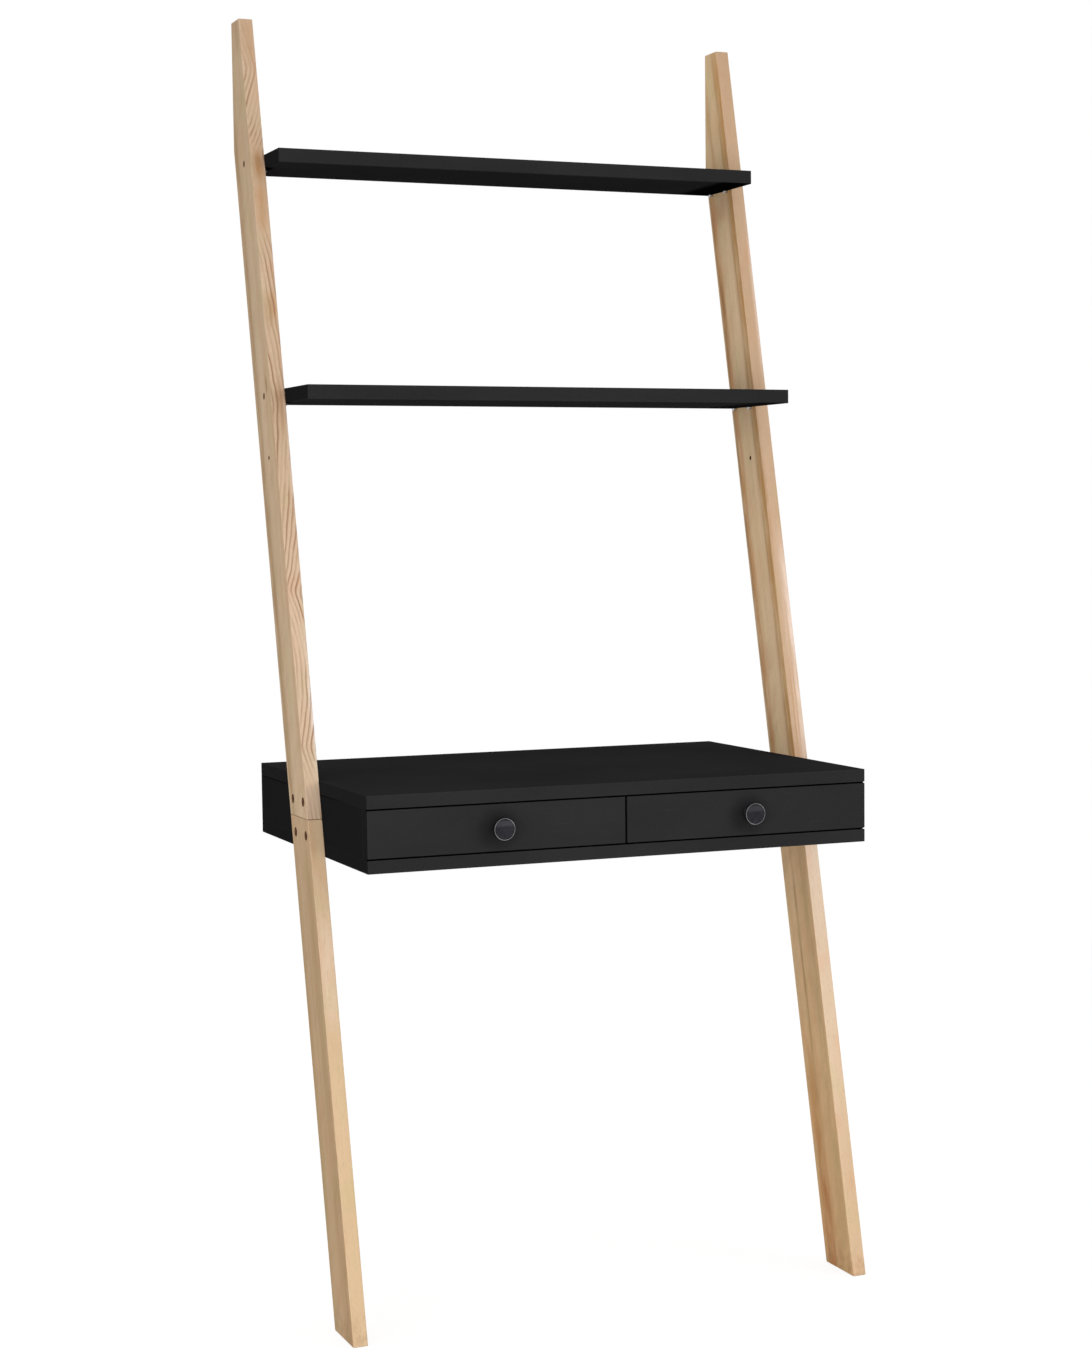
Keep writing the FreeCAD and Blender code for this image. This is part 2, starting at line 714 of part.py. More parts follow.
def desk_boards():
    """The seven boards of the desk box, by name."""
    boards = {
        "desk_top": Board("desk_top", ("-outer_x", "front_y", "lid_z"),
                          ("outer_x", "wall_y", "desk_height")),
        "desk_base": Board("desk_base", ("-outer_x", "front_y", "base_z"),
                           ("outer_x", "wall_y", "bay_z")),
        "divider_panel": Board("divider_panel", ("-board_thick / 2", "carcass_y", "bay_z"),
                               ("board_thick / 2", "back_y", "lid_z"), ease="drawer_ease"),
        "back_panel": Board("back_panel", ("-inner_x", "back_y", "bay_z"),
                            ("inner_x", "wall_y", "lid_z"), ease="drawer_ease"),
    }
    for side_name, side in SIDES.items():
        low_x, high_x = mirrored(side, "inner_x", "outer_x")
        label = f"side_panel_{side_name}"
        boards[label] = Board(label, (low_x, "carcass_y", "bay_z"), (high_x, "wall_y", "lid_z"),
                              ease="drawer_ease")
    return boards


def uprights(boards):
    """The three upright boards that the cams hold: the board, its middle X and its cam side."""
    middle = "inner_x + board_thick / 2"
    return [(boards["side_panel_left"], f"-({middle})", RIGHT),
            (boards["side_panel_right"], middle, LEFT),
            (boards["divider_panel"], "0", RIGHT)]


def fit_cams(boards):
    """Cam locks and cam bolts between the desk top and the three upright boards."""
    cam, bolt = cam_pattern(), cam_bolt_pattern()
    cams, bolts, top_holes = [], [], []
    for board, x, cam_side in uprights(boards):
        spots = [(x, y, "cam_z") for y in CAM_REACHES]
        face = f"({x}) + board_thick / 2 * {cam_side}"
        board.drill("x", face, "-" if cam_side == RIGHT else "+", spots,
                    "cam_wide + hole_slack", "cam_deep + hole_overrun")
        board.drill("z", "lid_z", "-", spots, "cam_bolt_wide + hole_slack",
                    "cam_drop + cam_bolt_wide / 2")
        top_holes += spots
        turn = FreeCAD.Rotation(UP, 0) if cam_side == RIGHT else FreeCAD.Rotation(UP, 180)
        cam_turn = turn.multiply(FreeCAD.Rotation(FreeCAD.Vector(0, 1, 0), 90))
        for spot in spots:
            depth = f"({face}) - (cam_deep) * {cam_side}"
            cams.append((cam, (depth, spot[1], "cam_z"), cam_turn))
            bolts.append((bolt, (x, spot[1], "cam_z - cam_bolt_wide / 2"), FreeCAD.Rotation()))
    boards["desk_top"].drill("z", "lid_z", "+", top_holes, "cam_bolt_thread + hole_slack",
                             "cam_bolt_seat + hole_overrun")
    copies("cam_locks", cams)
    copies("cam_bolts", bolts)


def fit_dowels(boards):
    """Dowels from the desk top into the uprights, and from the sides into the back panel."""
    dowel = dowel_pattern("carcass_dowel_pattern", "dowel_wide", "dowel_long")
    hole, placed, top_holes = "dowel_wide + hole_slack", [], []
    for board, x, _ in uprights(boards):
        spots = [(x, "carcass_y + cam_front_reach + cam_dowel_reach", "0"),
                 (x, "back_y - cam_back_reach - cam_dowel_reach", "0")]
        board.drill("z", "lid_z", "-", spots, hole, "dowel_long - dowel_seat + hole_overrun")
        top_holes += spots
        tip_z = "lid_z + dowel_seat - dowel_long"
        placed += [(dowel, (x, spot[1], tip_z), FreeCAD.Rotation()) for spot in spots]
    boards["desk_top"].drill("z", "lid_z", "+", top_holes, hole, "dowel_seat + hole_overrun")
    back_y = "wall_y - back_thick / 2"
    spots = [("0", back_y, f"bay_z + back_dowel_{level}") for level in ("low", "high")]
    for side_name, side in SIDES.items():
        face = signed(side, "inner_x")
        outward, inward = ("+", "-") if side == RIGHT else ("-", "+")
        boards[f"side_panel_{side_name}"].drill("x", face, outward, spots, hole,
                                                "dowel_seat + hole_overrun")
        boards["back_panel"].drill("x", face, inward, spots, hole,
                                   "dowel_long - dowel_seat + hole_overrun")
        tip_x = signed(side, "inner_x + dowel_seat - dowel_long")
        placed += [(dowel, (tip_x, y, z), pointing(side, 0, 0)) for _, y, z in spots]
    copies("carcass_dowels", placed)


def fit_base_screws(boards):
    """Screws driven up through the base into the uprights and the back panel."""
    screw = screw_pattern("base_screw_pattern", "screw_wide", "screw_long",
                          "screw_head_wide", "screw_head_tall")
    targets = [(board, [(x, y, "0") for y in CAM_REACHES]) for board, x, _ in uprights(boards)]
    back_y = "wall_y - back_thick / 2"
    back_spots = [(signed(side, "base_screw_spread"), back_y, "0") for side in (LEFT, RIGHT)]
    targets.append((boards["back_panel"], back_spots))
    placed, base_holes = [], []
    for board, spots in targets:
        board.drill("z", "bay_z", "+", spots, "screw_wide + hole_slack",
                    "screw_long - board_thick + hole_overrun")
        base_holes += spots
        tip_z = "base_z + screw_long"
        placed += [(screw, (x, y, tip_z), pointing(0, 0, -1)) for x, y, _ in spots]
    base = boards["desk_base"]
    base.drill("z", "base_z", "+", base_holes, "screw_wide + hole_slack", "board_thick")
    base.drill("z", "base_z", "+", base_holes, "screw_head_wide + hole_slack",
               "screw_head_tall + hole_slack / 2")
    copies("base_screws", placed)


def fit_rail_bolts(boards):
    """Threaded inserts in the desk sides, and the bolts that clamp the rails to them."""
    bolt, insert = bolt_pattern(), insert_pattern()
    bolts, inserts = [], []
    spots = [("0", rail_y(height, reach), height)
             for height in ("upper_bolt_z", "lower_bolt_z") for reach in ("bolt_front", "bolt_back")]
    for side_name, side in SIDES.items():
        into = "-" if side == RIGHT else "+"
        boards[f"side_panel_{side_name}"].drill("x", signed(side, "outer_x"), into, spots,
                                                "insert_wide + hole_slack", "insert_long + hole_overrun")
        tip_x = signed(side, "outer_x - insert_long")
        for _, y, z in spots:
            bolts.append((bolt, (tip_x, y, z), pointing(side, 0, 0)))
            inserts.append((insert, (tip_x, y, z), pointing(side, 0, 0)))
    copies("rail_bolts", bolts)
    copies("rail_inserts", inserts)


def desk_box():
    boards = desk_boards()
    fit_cams(boards)
    fit_dowels(boards)
    fit_base_screws(boards)
    fit_rail_bolts(boards)
    return boards


# ---------------------------------------------------------------- drawers

# The face of a drawer front stands a wide gap off the desk's boards. Behind its first
# few millimetres the front is taller and closes the gap to a working clearance.
FRONT_PROFILE = [
    ("0", "front_step"), ("front_gap_deep", "front_step"), ("front_gap_deep", "0"), ("front_thick", "0"),
    ("front_thick", "front_tall + 2 * front_step"), ("front_gap_deep", "front_tall + 2 * front_step"),
    ("front_gap_deep", "front_tall + front_step"), ("0", "front_tall + front_step")]


def drawer_boards(name, side):
    """The front, the four walls and the bottom of one drawer, drilled and grooved."""
    def between(label, low, high, ease="drawer_ease", profile=None):
        low_x, high_x = mirrored(side, low[0], high[0])
        return Board(f"{name}_drawer_{label}", (low_x,) + low[1:], (high_x,) + high[1:], ease, profile)

    inside_low, inside_high = "drawer_low_x + drawer_board", "drawer_high_x - drawer_board"
    top = "drawer_z + drawer_tall"
    boards = {
        "front": between("front", ("front_split / 2", "front_y", "front_z - front_step"),
                         ("outer_x", "front_y + front_thick", "front_z + front_tall + front_step"),
                         "board_ease", FRONT_PROFILE),
        "box_front": between("box_front", (inside_low, "drawer_y", "drawer_z"),
                             (inside_high, "drawer_y + drawer_board", top)),
        "back": between("back", (inside_low, "drawer_end_y - drawer_board", "drawer_z"),
                        (inside_high, "drawer_end_y", top)),
        "inner_side": between("inner_side", ("drawer_low_x", "drawer_y", "drawer_z"),
                              (inside_low, "drawer_end_y", top)),
        "outer_side": between("outer_side", (inside_high, "drawer_y", "drawer_z"),
                              ("drawer_high_x", "drawer_end_y", top)),
    }
    cut_bottom_grooves(boards, side)
    reach = "(drawer_groove_deep - groove_slack)"
    between("bottom",
            (f"{inside_low} - {reach}", f"drawer_y + drawer_board - {reach}",
             "groove_z + groove_slack / 2"),
            (f"{inside_high} + {reach}", f"drawer_end_y - drawer_board + {reach}",
             "groove_z + groove_slack / 2 + drawer_bottom_thick"), None)
    return boards


def cut_bottom_grooves(boards, side):
    """Grooves that hold the bottom, cut in the inside faces of the four walls."""
    low_z, high_z = "groove_z", "groove_z + drawer_bottom_thick + groove_slack"
    near_y = "drawer_y + drawer_board - drawer_groove_deep"
    far_y = "drawer_end_y - drawer_board + drawer_groove_deep"
    for label, face, into in (("inner_side", "drawer_low_x + drawer_board", "-"),
                              ("outer_side", "drawer_high_x - drawer_board", "+")):
        if side == LEFT:
            into = "+" if into == "-" else "-"
        boards[label].groove("x", signed(side, face), into, ("0", near_y, low_z),
                             ("0", far_y, high_z), "drawer_groove_deep")
    low_x, high_x = mirrored(side, "drawer_low_x + drawer_board", "drawer_high_x - drawer_board")
    for label, face, into in (("box_front", "drawer_y + drawer_board", "-"),
                              ("back", "drawer_end_y - drawer_board", "+")):
        boards[label].groove("y", face, into, (low_x, "0", low_z), (high_x, "0", high_z),
                             "drawer_groove_deep")


def corner_dowels(name, side, boards, dowel):
    """Two dowels in each corner of the drawer box."""
    placed = []
    wide = "corner_dowel_wide + hole_slack"
    ends = (("box_front", "drawer_y + drawer_board / 2"), ("back", "drawer_end_y - drawer_board / 2"))
    walls = (("inner_side", "drawer_low_x + drawer_board", -1),
             ("outer_side", "drawer_high_x - drawer_board", 1))
    for end, y in ends:
        spots = [("0", y, f"drawer_z + corner_dowel_{level}") for level in ("low", "high")]
        for wall, face, way in walls:
            outward = way * side
            into_wall, into_end = ("+", "-") if outward > 0 else ("-", "+")
            boards[wall].drill("x", signed(side, face), into_wall, spots, wide,
                               "corner_dowel_seat + hole_overrun")
            boards[end].drill("x", signed(side, face), into_end, spots, wide,
                              "corner_dowel_long - corner_dowel_seat + hole_overrun")
            tip = signed(side, f"{face} + {way} * (corner_dowel_seat - corner_dowel_long)")
            placed += [(dowel, (tip, y, z), pointing(outward, 0, 0)) for _, y, z in spots]
    copies(f"{name}_drawer_corner_dowels", placed)


def knob(name, side):
    """The knob: a dished disc with a rounded rim on a waisted neck, bored for its screw."""
    edge, foot, neck = "(knob_wide / 2)", "(knob_foot_wide / 2)", "(knob_neck_wide / 2)"
    disc_low = "knob_reach - knob_disc_thick"
    bore = "(knob_screw_wide / 2 + hole_slack / 2)"
    body = node(turned(f"{name}_drawer_knob", [
        (bore, "0"), (f"{foot} - metal_bevel", "0"), (foot, "metal_bevel"), (foot, "knob_foot_thick"),
        (f"{neck} + metal_bevel", "(knob_foot_thick + knob_neck_low) / 2"), (neck, "knob_neck_low"),
        (neck, "knob_neck_high"), (f"{neck} + knob_flare / 3", f"(knob_neck_high + {disc_low}) / 2"),
        (f"{edge} - knob_flare", disc_low), (f"{edge} - knob_rim / 2", f"{disc_low} + knob_rim / 2"),
        (edge, f"{disc_low} + knob_rim * 3 / 2"), (edge, "knob_reach - knob_rim"),
        (f"{edge} - knob_rim / 3", "knob_reach - knob_rim / 3"), (f"{edge} - knob_rim", "knob_reach"),
        (f"{edge} - knob_rim * 2", "knob_reach - knob_dish / 2"),
        (f"{edge} / 2", "knob_reach - knob_dish"), ("0", "knob_reach - knob_dish"),
        ("0", "knob_bore_deep"), (bore, "knob_bore_deep")]))
    place(body, signed(side, "knob_x"), "front_y", "knob_z", pointing(0, -1, 0))


def drawer_screws(name, side, boards, knob_screw, front_screw):
    """The knob's machine screw, and two screws that hold the front to the box."""
    inside_y = "drawer_y + drawer_board"
    knob_spot = [(signed(side, "knob_x"), "0", "knob_z")]
    boards["front"].drill("y", "front_y", "+", knob_spot, "knob_screw_wide + hole_slack", "front_thick")
    boards["box_front"].drill("y", inside_y, "-", knob_spot, "knob_screw_wide + hole_slack",
                              "drawer_board")
    tip_y = f"{inside_y} + knob_screw_head_tall - knob_screw_long"
    copies(f"{name}_drawer_knob_screw",
           [(knob_screw, (signed(side, "knob_x"), tip_y, "knob_z"), pointing(0, 1, 0))])
    spots = [(signed(side, f"knob_x + {way} * front_screw_spread"), "0", "knob_z") for way in (-1, 1)]
    boards["box_front"].drill("y", inside_y, "-", spots, "small_screw_wide + hole_slack",
                              "drawer_board")
    boards["front"].drill("y", "drawer_y", "-", spots, "small_screw_wide + hole_slack",
                          "front_screw_bite")
    tip_y = "drawer_y - front_screw_bite + hole_overrun"
    copies(f"{name}_drawer_front_screws",
           [(front_screw, (x, tip_y, z), pointing(0, 1, 0)) for x, _, z in spots])


def channel(label, tall, deep, way):
    """A runner member: a channel with its web on X = 0 and its lips towards +X or -X."""
    body = new_body(label)
    sketch = new_sketch(body, "y")
    sheet_in, far = (f"{way} * runner_sheet", f"{way} * {deep}")
    half = f"{tall} / 2"
    draw_polygon(sketch, [
        ("0", f"-{half}"), (far, f"-{half}"), (far, f"-{half} + runner_sheet"),
        (sheet_in, f"-{half} + runner_sheet"), (sheet_in, f"{half} - runner_sheet"),
        (far, f"{half} - runner_sheet"), (far, half), ("0", half)])
    pad(body, sketch, "runner_long", "y")
    return body


RUNNER_SCREW_REACHES = [f"runner_screw_first + {step} * runner_screw_pitch" for step in range(3)]


def bore_channel(body, way):
    """Screw holes through the web of a runner member."""
    sketch = new_sketch(body, "x", f"{way} * runner_sheet")
    spots = [(reach, "0") for reach in RUNNER_SCREW_REACHES]
    draw_circles(sketch, spots, "small_screw_wide + hole_slack")
    pocket(body, sketch, "runner_sheet", "x", "-" if way > 0 else "+")


def runners(name, side, drawer, carcass, screw, cage):
    """Two ball runners: a fixed and a moving member, a cage of balls and the screws of each."""
    walls = (("inner", "board_thick / 2", "drawer_low_x", carcass["divider_panel"],
              drawer["inner_side"], 1),
             ("outer", "inner_x", "drawer_high_x", carcass[f"side_panel_{name}"],
              drawer["outer_side"], -1))
    fixed_screws, moving_screws, caged = [], [], []
    screw_hole = "small_screw_wide + hole_slack"
    bite = "small_screw_bite"
    for label, fixed_x, moving_x, panel, wall, inward in walls:
        way = inward * side
        fixed_x, moving_x = signed(side, fixed_x), signed(side, moving_x)
        fixed = node(channel(f"{name}_drawer_{label}_fixed_runner",
                             "fixed_runner_tall", "fixed_runner_deep", way))
        bore_channel(fixed, way)
        place(fixed, fixed_x, "runner_y", "runner_z")
        moving = node(channel(f"{name}_drawer_{label}_moving_runner",
                              "moving_runner_tall", "moving_runner_deep", -way))
        bore_channel(moving, -way)
        place(moving, moving_x, "runner_y", "runner_z")
        spots = [("0", f"runner_y + {reach}", "runner_z") for reach in RUNNER_SCREW_REACHES]
        panel.drill("x", fixed_x, "-" if way > 0 else "+", spots, screw_hole, bite)
        wall.drill("x", moving_x, "+" if way > 0 else "-", spots, screw_hole, bite)
        for _, y, z in spots:
            fixed_tip = f"({fixed_x}) + ({way}) * (runner_sheet + small_head_tall - runner_screw_long)"
            moving_tip = f"({moving_x}) - ({way}) * (runner_sheet + small_head_tall - runner_screw_long)"
            fixed_screws.append((screw, (fixed_tip, y, z), pointing(way, 0, 0)))
            moving_screws.append((screw, (moving_tip, y, z), pointing(-way, 0, 0)))
        caged += cage_copies(fixed_x, way, cage)
    copies(f"{name}_drawer_fixed_runner_screws", fixed_screws)
    copies(f"{name}_drawer_moving_runner_screws", moving_screws)
    copies(f"{name}_drawer_ball_cages", caged)


BALL_STEPS = (-2, -1, 0, 1, 2)


def cage_patterns():
    """A ball cage, a thin channel with a row of round windows in each lip, and one ball."""
    body = new_body("ball_cage_pattern")
    sketch = new_sketch(body, "y")
    half, far = "cage_tall / 2", "cage_deep"
    draw_polygon(sketch, [
        ("0", f"-{half}"), (far, f"-{half}"), (far, f"-{half} + cage_sheet"),
        ("cage_sheet", f"-{half} + cage_sheet"), ("cage_sheet", f"{half} - cage_sheet"),
        (far, f"{half} - cage_sheet"), (far, half), ("0", half)])
    pad(body, sketch, "cage_long", "y")
    windows = new_sketch(body, "z", half)
    spots = [("ball_reach - cage_reach", f"cage_long / 2 + {step} * ball_pitch") for step in BALL_STEPS]
    draw_circles(windows, spots, "ball_wide + hole_slack")
    pocket(body, windows, "cage_tall", "z", "-")
    ball = document.addObject("Part::Sphere", "ball_pattern")
    ball.setExpression("Radius", bound("ball_wide / 2"))
    return body, ball


def cage_copies(fixed_x, way, patterns):
    """One cage and its ten balls inside the runner at fixed_x, opening towards way."""
    cage, ball = patterns
    middle_y = "runner_y + runner_long / 2"
    if way > 0:
        placed = [(cage, (f"({fixed_x}) + cage_reach", f"{middle_y} - cage_long / 2", "runner_z"),
                   FreeCAD.Rotation())]
    else:
        placed = [(cage, (f"({fixed_x}) - cage_reach", f"{middle_y} + cage_long / 2", "runner_z"),
                   FreeCAD.Rotation(UP, 180))]
    rise = "(cage_tall / 2 - cage_sheet / 2)"
    for step in BALL_STEPS:
        for level in (-1, 1):
            spot = (f"({fixed_x}) + ({way}) * ball_reach", f"{middle_y} + ({step}) * ball_pitch",
                    f"runner_z + ({level}) * {rise}")
            placed.append((ball, spot, FreeCAD.Rotation()))
    return placed


def drawers(carcass):
    dowel = dowel_pattern("corner_dowel_pattern", "corner_dowel_wide", "corner_dowel_long")
    knob_screw = screw_pattern("knob_screw_pattern", "knob_screw_wide", "knob_screw_long",
                               "knob_screw_head_wide", "knob_screw_head_tall", countersunk=False)
    front_screw = screw_pattern("front_screw_pattern", "small_screw_wide",
                                "drawer_board + front_screw_bite + small_head_tall - hole_overrun",
                                "small_head_wide", "small_head_tall", countersunk=False)
    runner_screw = screw_pattern("runner_screw_pattern", "small_screw_wide", "runner_screw_long",
                                 "small_head_wide", "small_head_tall", countersunk=False)
    cage = cage_patterns()
    for name, side in SIDES.items():
        boards = drawer_boards(name, side)
        corner_dowels(name, side, boards, dowel)
        knob(name, side)
        drawer_screws(name, side, boards, knob_screw, front_screw)
        runners(name, side, boards, carcass, runner_screw, cage)


# ---------------------------------------------------------------- checks and export

def check_document():
    """Stops if any object failed, a pocket removed nothing, or a node is null or invalid."""
    document.recompute()
    for item in document.Objects:
        if "Invalid" in item.State or "Error" in item.State:
            raise RuntimeError(f"{item.Name} failed: {item.State}")
        if item.TypeId == "PartDesign::Pocket":
            if item.Shape.Volume > item.BaseFeature.Shape.Volume - 0.01:
                raise RuntimeError(f"{item.Name} cuts nothing")
    for piece in nodes:
        if piece.Shape.isNull() or not piece.Shape.isValid():
            raise RuntimeError(f"{piece.Label} has no valid shape")


def export_nodes():
    os.makedirs("parts", exist_ok=True)
    for piece in nodes:
        piece.Shape.exportStep(f"parts/{piece.Label}.step")
        box = piece.Shape.BoundBox
        print(f"{piece.Label:38s} {len(piece.Shape.Solids):3d}"
              f" x {box.XMin:8.1f} {box.XMax:8.1f} y {box.YMin:8.1f} {box.YMax:8.1f}"
              f" z {box.ZMin:8.1f} {box.ZMax:8.1f}")
    print(len(nodes), "nodes")


fill_sheet()
rails()
wall_brackets(shelves())
drawers(desk_box())
check_document()
export_nodes()
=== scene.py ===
import math

import bpy
import numpy as np
from mathutils import Matrix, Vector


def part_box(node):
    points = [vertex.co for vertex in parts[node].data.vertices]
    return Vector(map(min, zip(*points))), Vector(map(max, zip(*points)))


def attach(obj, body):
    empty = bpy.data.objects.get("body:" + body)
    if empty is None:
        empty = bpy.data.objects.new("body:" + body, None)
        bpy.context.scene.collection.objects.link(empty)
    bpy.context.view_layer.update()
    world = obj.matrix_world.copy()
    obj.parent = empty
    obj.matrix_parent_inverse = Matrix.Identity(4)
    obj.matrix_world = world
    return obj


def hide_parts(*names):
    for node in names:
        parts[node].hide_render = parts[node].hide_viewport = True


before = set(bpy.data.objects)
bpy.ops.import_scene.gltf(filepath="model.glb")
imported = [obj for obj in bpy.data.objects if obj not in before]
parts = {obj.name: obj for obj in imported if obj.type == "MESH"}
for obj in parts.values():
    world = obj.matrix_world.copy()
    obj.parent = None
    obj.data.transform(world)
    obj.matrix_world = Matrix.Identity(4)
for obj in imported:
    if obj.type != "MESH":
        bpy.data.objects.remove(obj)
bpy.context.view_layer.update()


# ---------------------------------------------------------------- leaning rails
# Two uprights of clear-oiled ash lean back on the wall. Each is an upper and a lower rail of one
# section, 21 mm thick and 82 mm broad, planed, eased along its edges and cut level at the ends.

def chip(red, green, blue):
    """A colour chip of 0 to 255 as light: each share c becomes ((c + 0.055) / 1.055) ^ 2.4."""
    shares = ((np.array([red, green, blue]) / 255 + 0.055) / 1.055) ** 2.4
    return (*shares.tolist(), 1.0)


def wire(node, inputs):
    """Fills a node's sockets, by name or place, with values or with links from other nodes."""
    for socket, value in inputs.items():
        if isinstance(value, Shade):
            value.tree.links.new(value.socket, node.inputs[socket])
        else:
            node.inputs[socket].default_value = value


class Shade:
    """One number, vector or colour of a finish. Signs between numbers add their Math nodes."""

    def __init__(self, tree, socket=None):
        self.tree, self.socket = tree, socket

    def node(self, kind, settings=(), inputs=(), output=0):
        """Adds a node: its settings first, then its sockets, and returns one of its outputs."""
        made = self.tree.nodes.new(kind)
        for name, value in dict(settings).items():
            setattr(made, name, value)
        wire(made, dict(inputs))
        return Shade(self.tree, made.outputs[output])

    def outputs(self):
        """Every output of the node that this value comes from."""
        return [Shade(self.tree, socket) for socket in self.socket.node.outputs]

    def maths(self, operation, *values):
        return self.node("ShaderNodeMath", {"operation": operation}, dict(enumerate(values)))

    def __add__(self, other):
        return self.maths("ADD", self, other)

    __radd__ = __add__

    def __sub__(self, other):
        return self.maths("SUBTRACT", self, other)

    def __rsub__(self, other):
        return self.maths("SUBTRACT", other, self)

    def __mul__(self, other):
        return self.maths("MULTIPLY", self, other)

    __rmul__ = __mul__

    def __truediv__(self, other):
        return self.maths("DIVIDE", self, other)

    def size(self):
        return self.maths("ABSOLUTE", self)

    def root(self):
        return self.maths("SQRT", self)

    def bell(self):
        """1 at nought, falling away on both sides as e to the power of minus its square."""
        return self.maths("EXPONENT", self * self * -1.0)

    def peak(self):
        """1 at nought, falling away on both sides as e to the power of minus the root of its
        square and a little more, which leaves a slightly blunted point."""
        return self.maths("EXPONENT", (self * self + 0.03).root() * -1.0)

    def step(self, low, high):
        """0 up to low and 1 from high on, with a smooth rise between; falling if high is less."""
        edges = dict(enumerate((self, low, high)))
        return self.node("ShaderNodeMapRange", {"interpolation_type": "SMOOTHSTEP"}, edges)

    def between(self, first, second, way="MIX"):
        """Two colours mixed by this value: the first at 0, the second laid over it at 1."""
        settings = {"data_type": "RGBA", "blend_type": way}
        return self.node("ShaderNodeMix", settings, {0: self, 6: first, 7: second}, 2)

    def parts(self):
        """The three numbers of a vector."""
        return self.node("ShaderNodeSeparateXYZ", (), {0: self}).outputs()

    def noise(self, sizes, seed, detail=2.0):
        """Soft random blots of 0 to 1 at this place, as long as sizes along the three axes."""
        scales = tuple(1 / size for size in sizes)
        spot = self.node("ShaderNodeMapping", (), {0: self, "Location": (seed, 0, 0), "Scale": scales})
        return spot.node("ShaderNodeTexNoise", (), {"Vector": spot, "Scale": 1.0, "Detail": detail})


def new_finish(name):
    """An empty finish: the material, its shader, and the piece's own coordinates in millimetres."""
    material = bpy.data.materials.new(name)
    material.use_nodes = True
    start = Shade(material.node_tree)
    spot = start.node("ShaderNodeTexCoord", output="Object")
    spot = spot.node("ShaderNodeVectorMath", {"operation": "SCALE"}, {0: spot, "Scale": 1000.0})
    return material, material.node_tree.nodes["Principled BSDF"], spot


def facing(spot):
    """How squarely the surface faces along X, Y and Z, each from 0 to 1."""
    normal = spot.node("ShaderNodeTexCoord", output="Normal")
    return [share.size() for share in normal.parts()]


def relief(height, strength, depth):
    """The surface's normal with a fine relief of a height from 0 to 1, depth millimetres deep."""
    inputs = {"Strength": strength, "Distance": depth / 1000, "Height": height}
    return height.node("ShaderNodeBump", (), inputs)


def dress(node, material):
    """Gives one piece of the frame its finish."""
    for place in parts[node].material_slots:
        place.material = material


LEAN = math.radians(13.5)
FOOT_Y = -210.5
RAIL_THICK, RAIL_BROAD = 21.0, 82.0
RAIL_FRONT = FOOT_Y * math.cos(LEAN)
RAIL_JOINT_Z, RAIL_TOP_Z = 698.0, 1834.0
DESK_SIDE = 371.0
SHELF_TOPS = {"top_shelf": 1635.0, "middle_shelf": 1298.0}
SPARE_HOLES = [(1200.0, 37.5)]
SHELF_SCREWS = [(top - 10.0, 36.0) for top in SHELF_TOPS.values()]
RAIL_BOLTS = [(height, reach) for height in (721.0, 675.0) for reach in (15.5, 65.5)]
YEAR_RING = 6.2
NARROW, BROAD = "narrow", "broad"


def rail_y(height, reach):
    """The depth of a point on a rail's broad face: how far behind the leaning front edge it lies."""
    return FOOT_Y + height * math.tan(LEAN) + reach


def year_rings(board, height, off_pith, seed, bends, calm):
    """How far each year's ring has grown, 0 to 1, and how much its thin brown line of late wood
    shows. A ring's number is its distance from the pith, the root of x^2 + y^2, over a year's
    growth. The board's wander and its bends (height, reach, lift) push the rings aside, so the
    narrow faces show bent flames and the broad faces near straight lines. The lines fade where the
    board is calm (height, reach)."""
    wander = board.noise((70, 70, 210), seed) * 9.0 + board.noise((16, 16, 40), seed + 5) * 5.0
    for middle, reach, lift in bends:
        wander = wander + ((height - middle) / reach).peak() * lift
    off_x, off_y = off_pith
    ring = ((off_x * off_x + off_y * off_y).root() + wander) / YEAR_RING
    grown = ring.maths("FRACT", ring)
    late = grown.step(0.35, 0.74) - grown.step(0.86, 1.0)
    year = ring.node("ShaderNodeTexWhiteNoise", {"noise_dimensions": "1D"},
                     {"W": ring.maths("FLOOR", ring)})
    late = late * (year * 0.8 + 0.2)
    late = late * (board.noise((18, 18, 85), seed + 53).step(0.36, 0.58) * 0.75 + 0.25)
    for middle, reach in calm:
        late = late * (1.0 - ((height - middle) / reach).bell() * 0.8)
    return grown, late


def oiled_wood(board, flat, rise, tone, seed, narrow, broad):
    """The wood's colour without its lines. Each kind of face goes from its colour at the foot to
    its colour at the top, under long streaks, rosy and greenish mottling and slanting ripples.
    That change is partly the wood's own and partly painted light, paler near the desk on the
    right rails where the lamps reach less."""
    streaked, rosy, greenish = (0.93, 0.91, 0.87, 1.0), (1.0, 0.90, 0.86, 1.0), (0.94, 1.0, 0.90, 1.0)
    colour = flat.between(rise.between(*narrow), rise.between(*broad))
    colour = (tone * 0.8).between(colour, streaked, "MULTIPLY")
    mottle = board.noise((26, 17, 64), seed + 47, 1.0)
    colour = (mottle.step(0.52, 0.74) * 0.7).between(colour, rosy, "MULTIPLY")
    colour = (mottle.step(0.48, 0.26) * 0.7).between(colour, greenish, "MULTIPLY")
    tilted = board.node("ShaderNodeMapping", (), {0: board, "Rotation": (math.radians(-40), 0, 0)})
    ripple = tilted.noise((40, 24, 66), seed + 43, 1.0).step(0.44, 0.70) * flat
    return (ripple * 0.14).between(colour, chip(176, 138, 96))


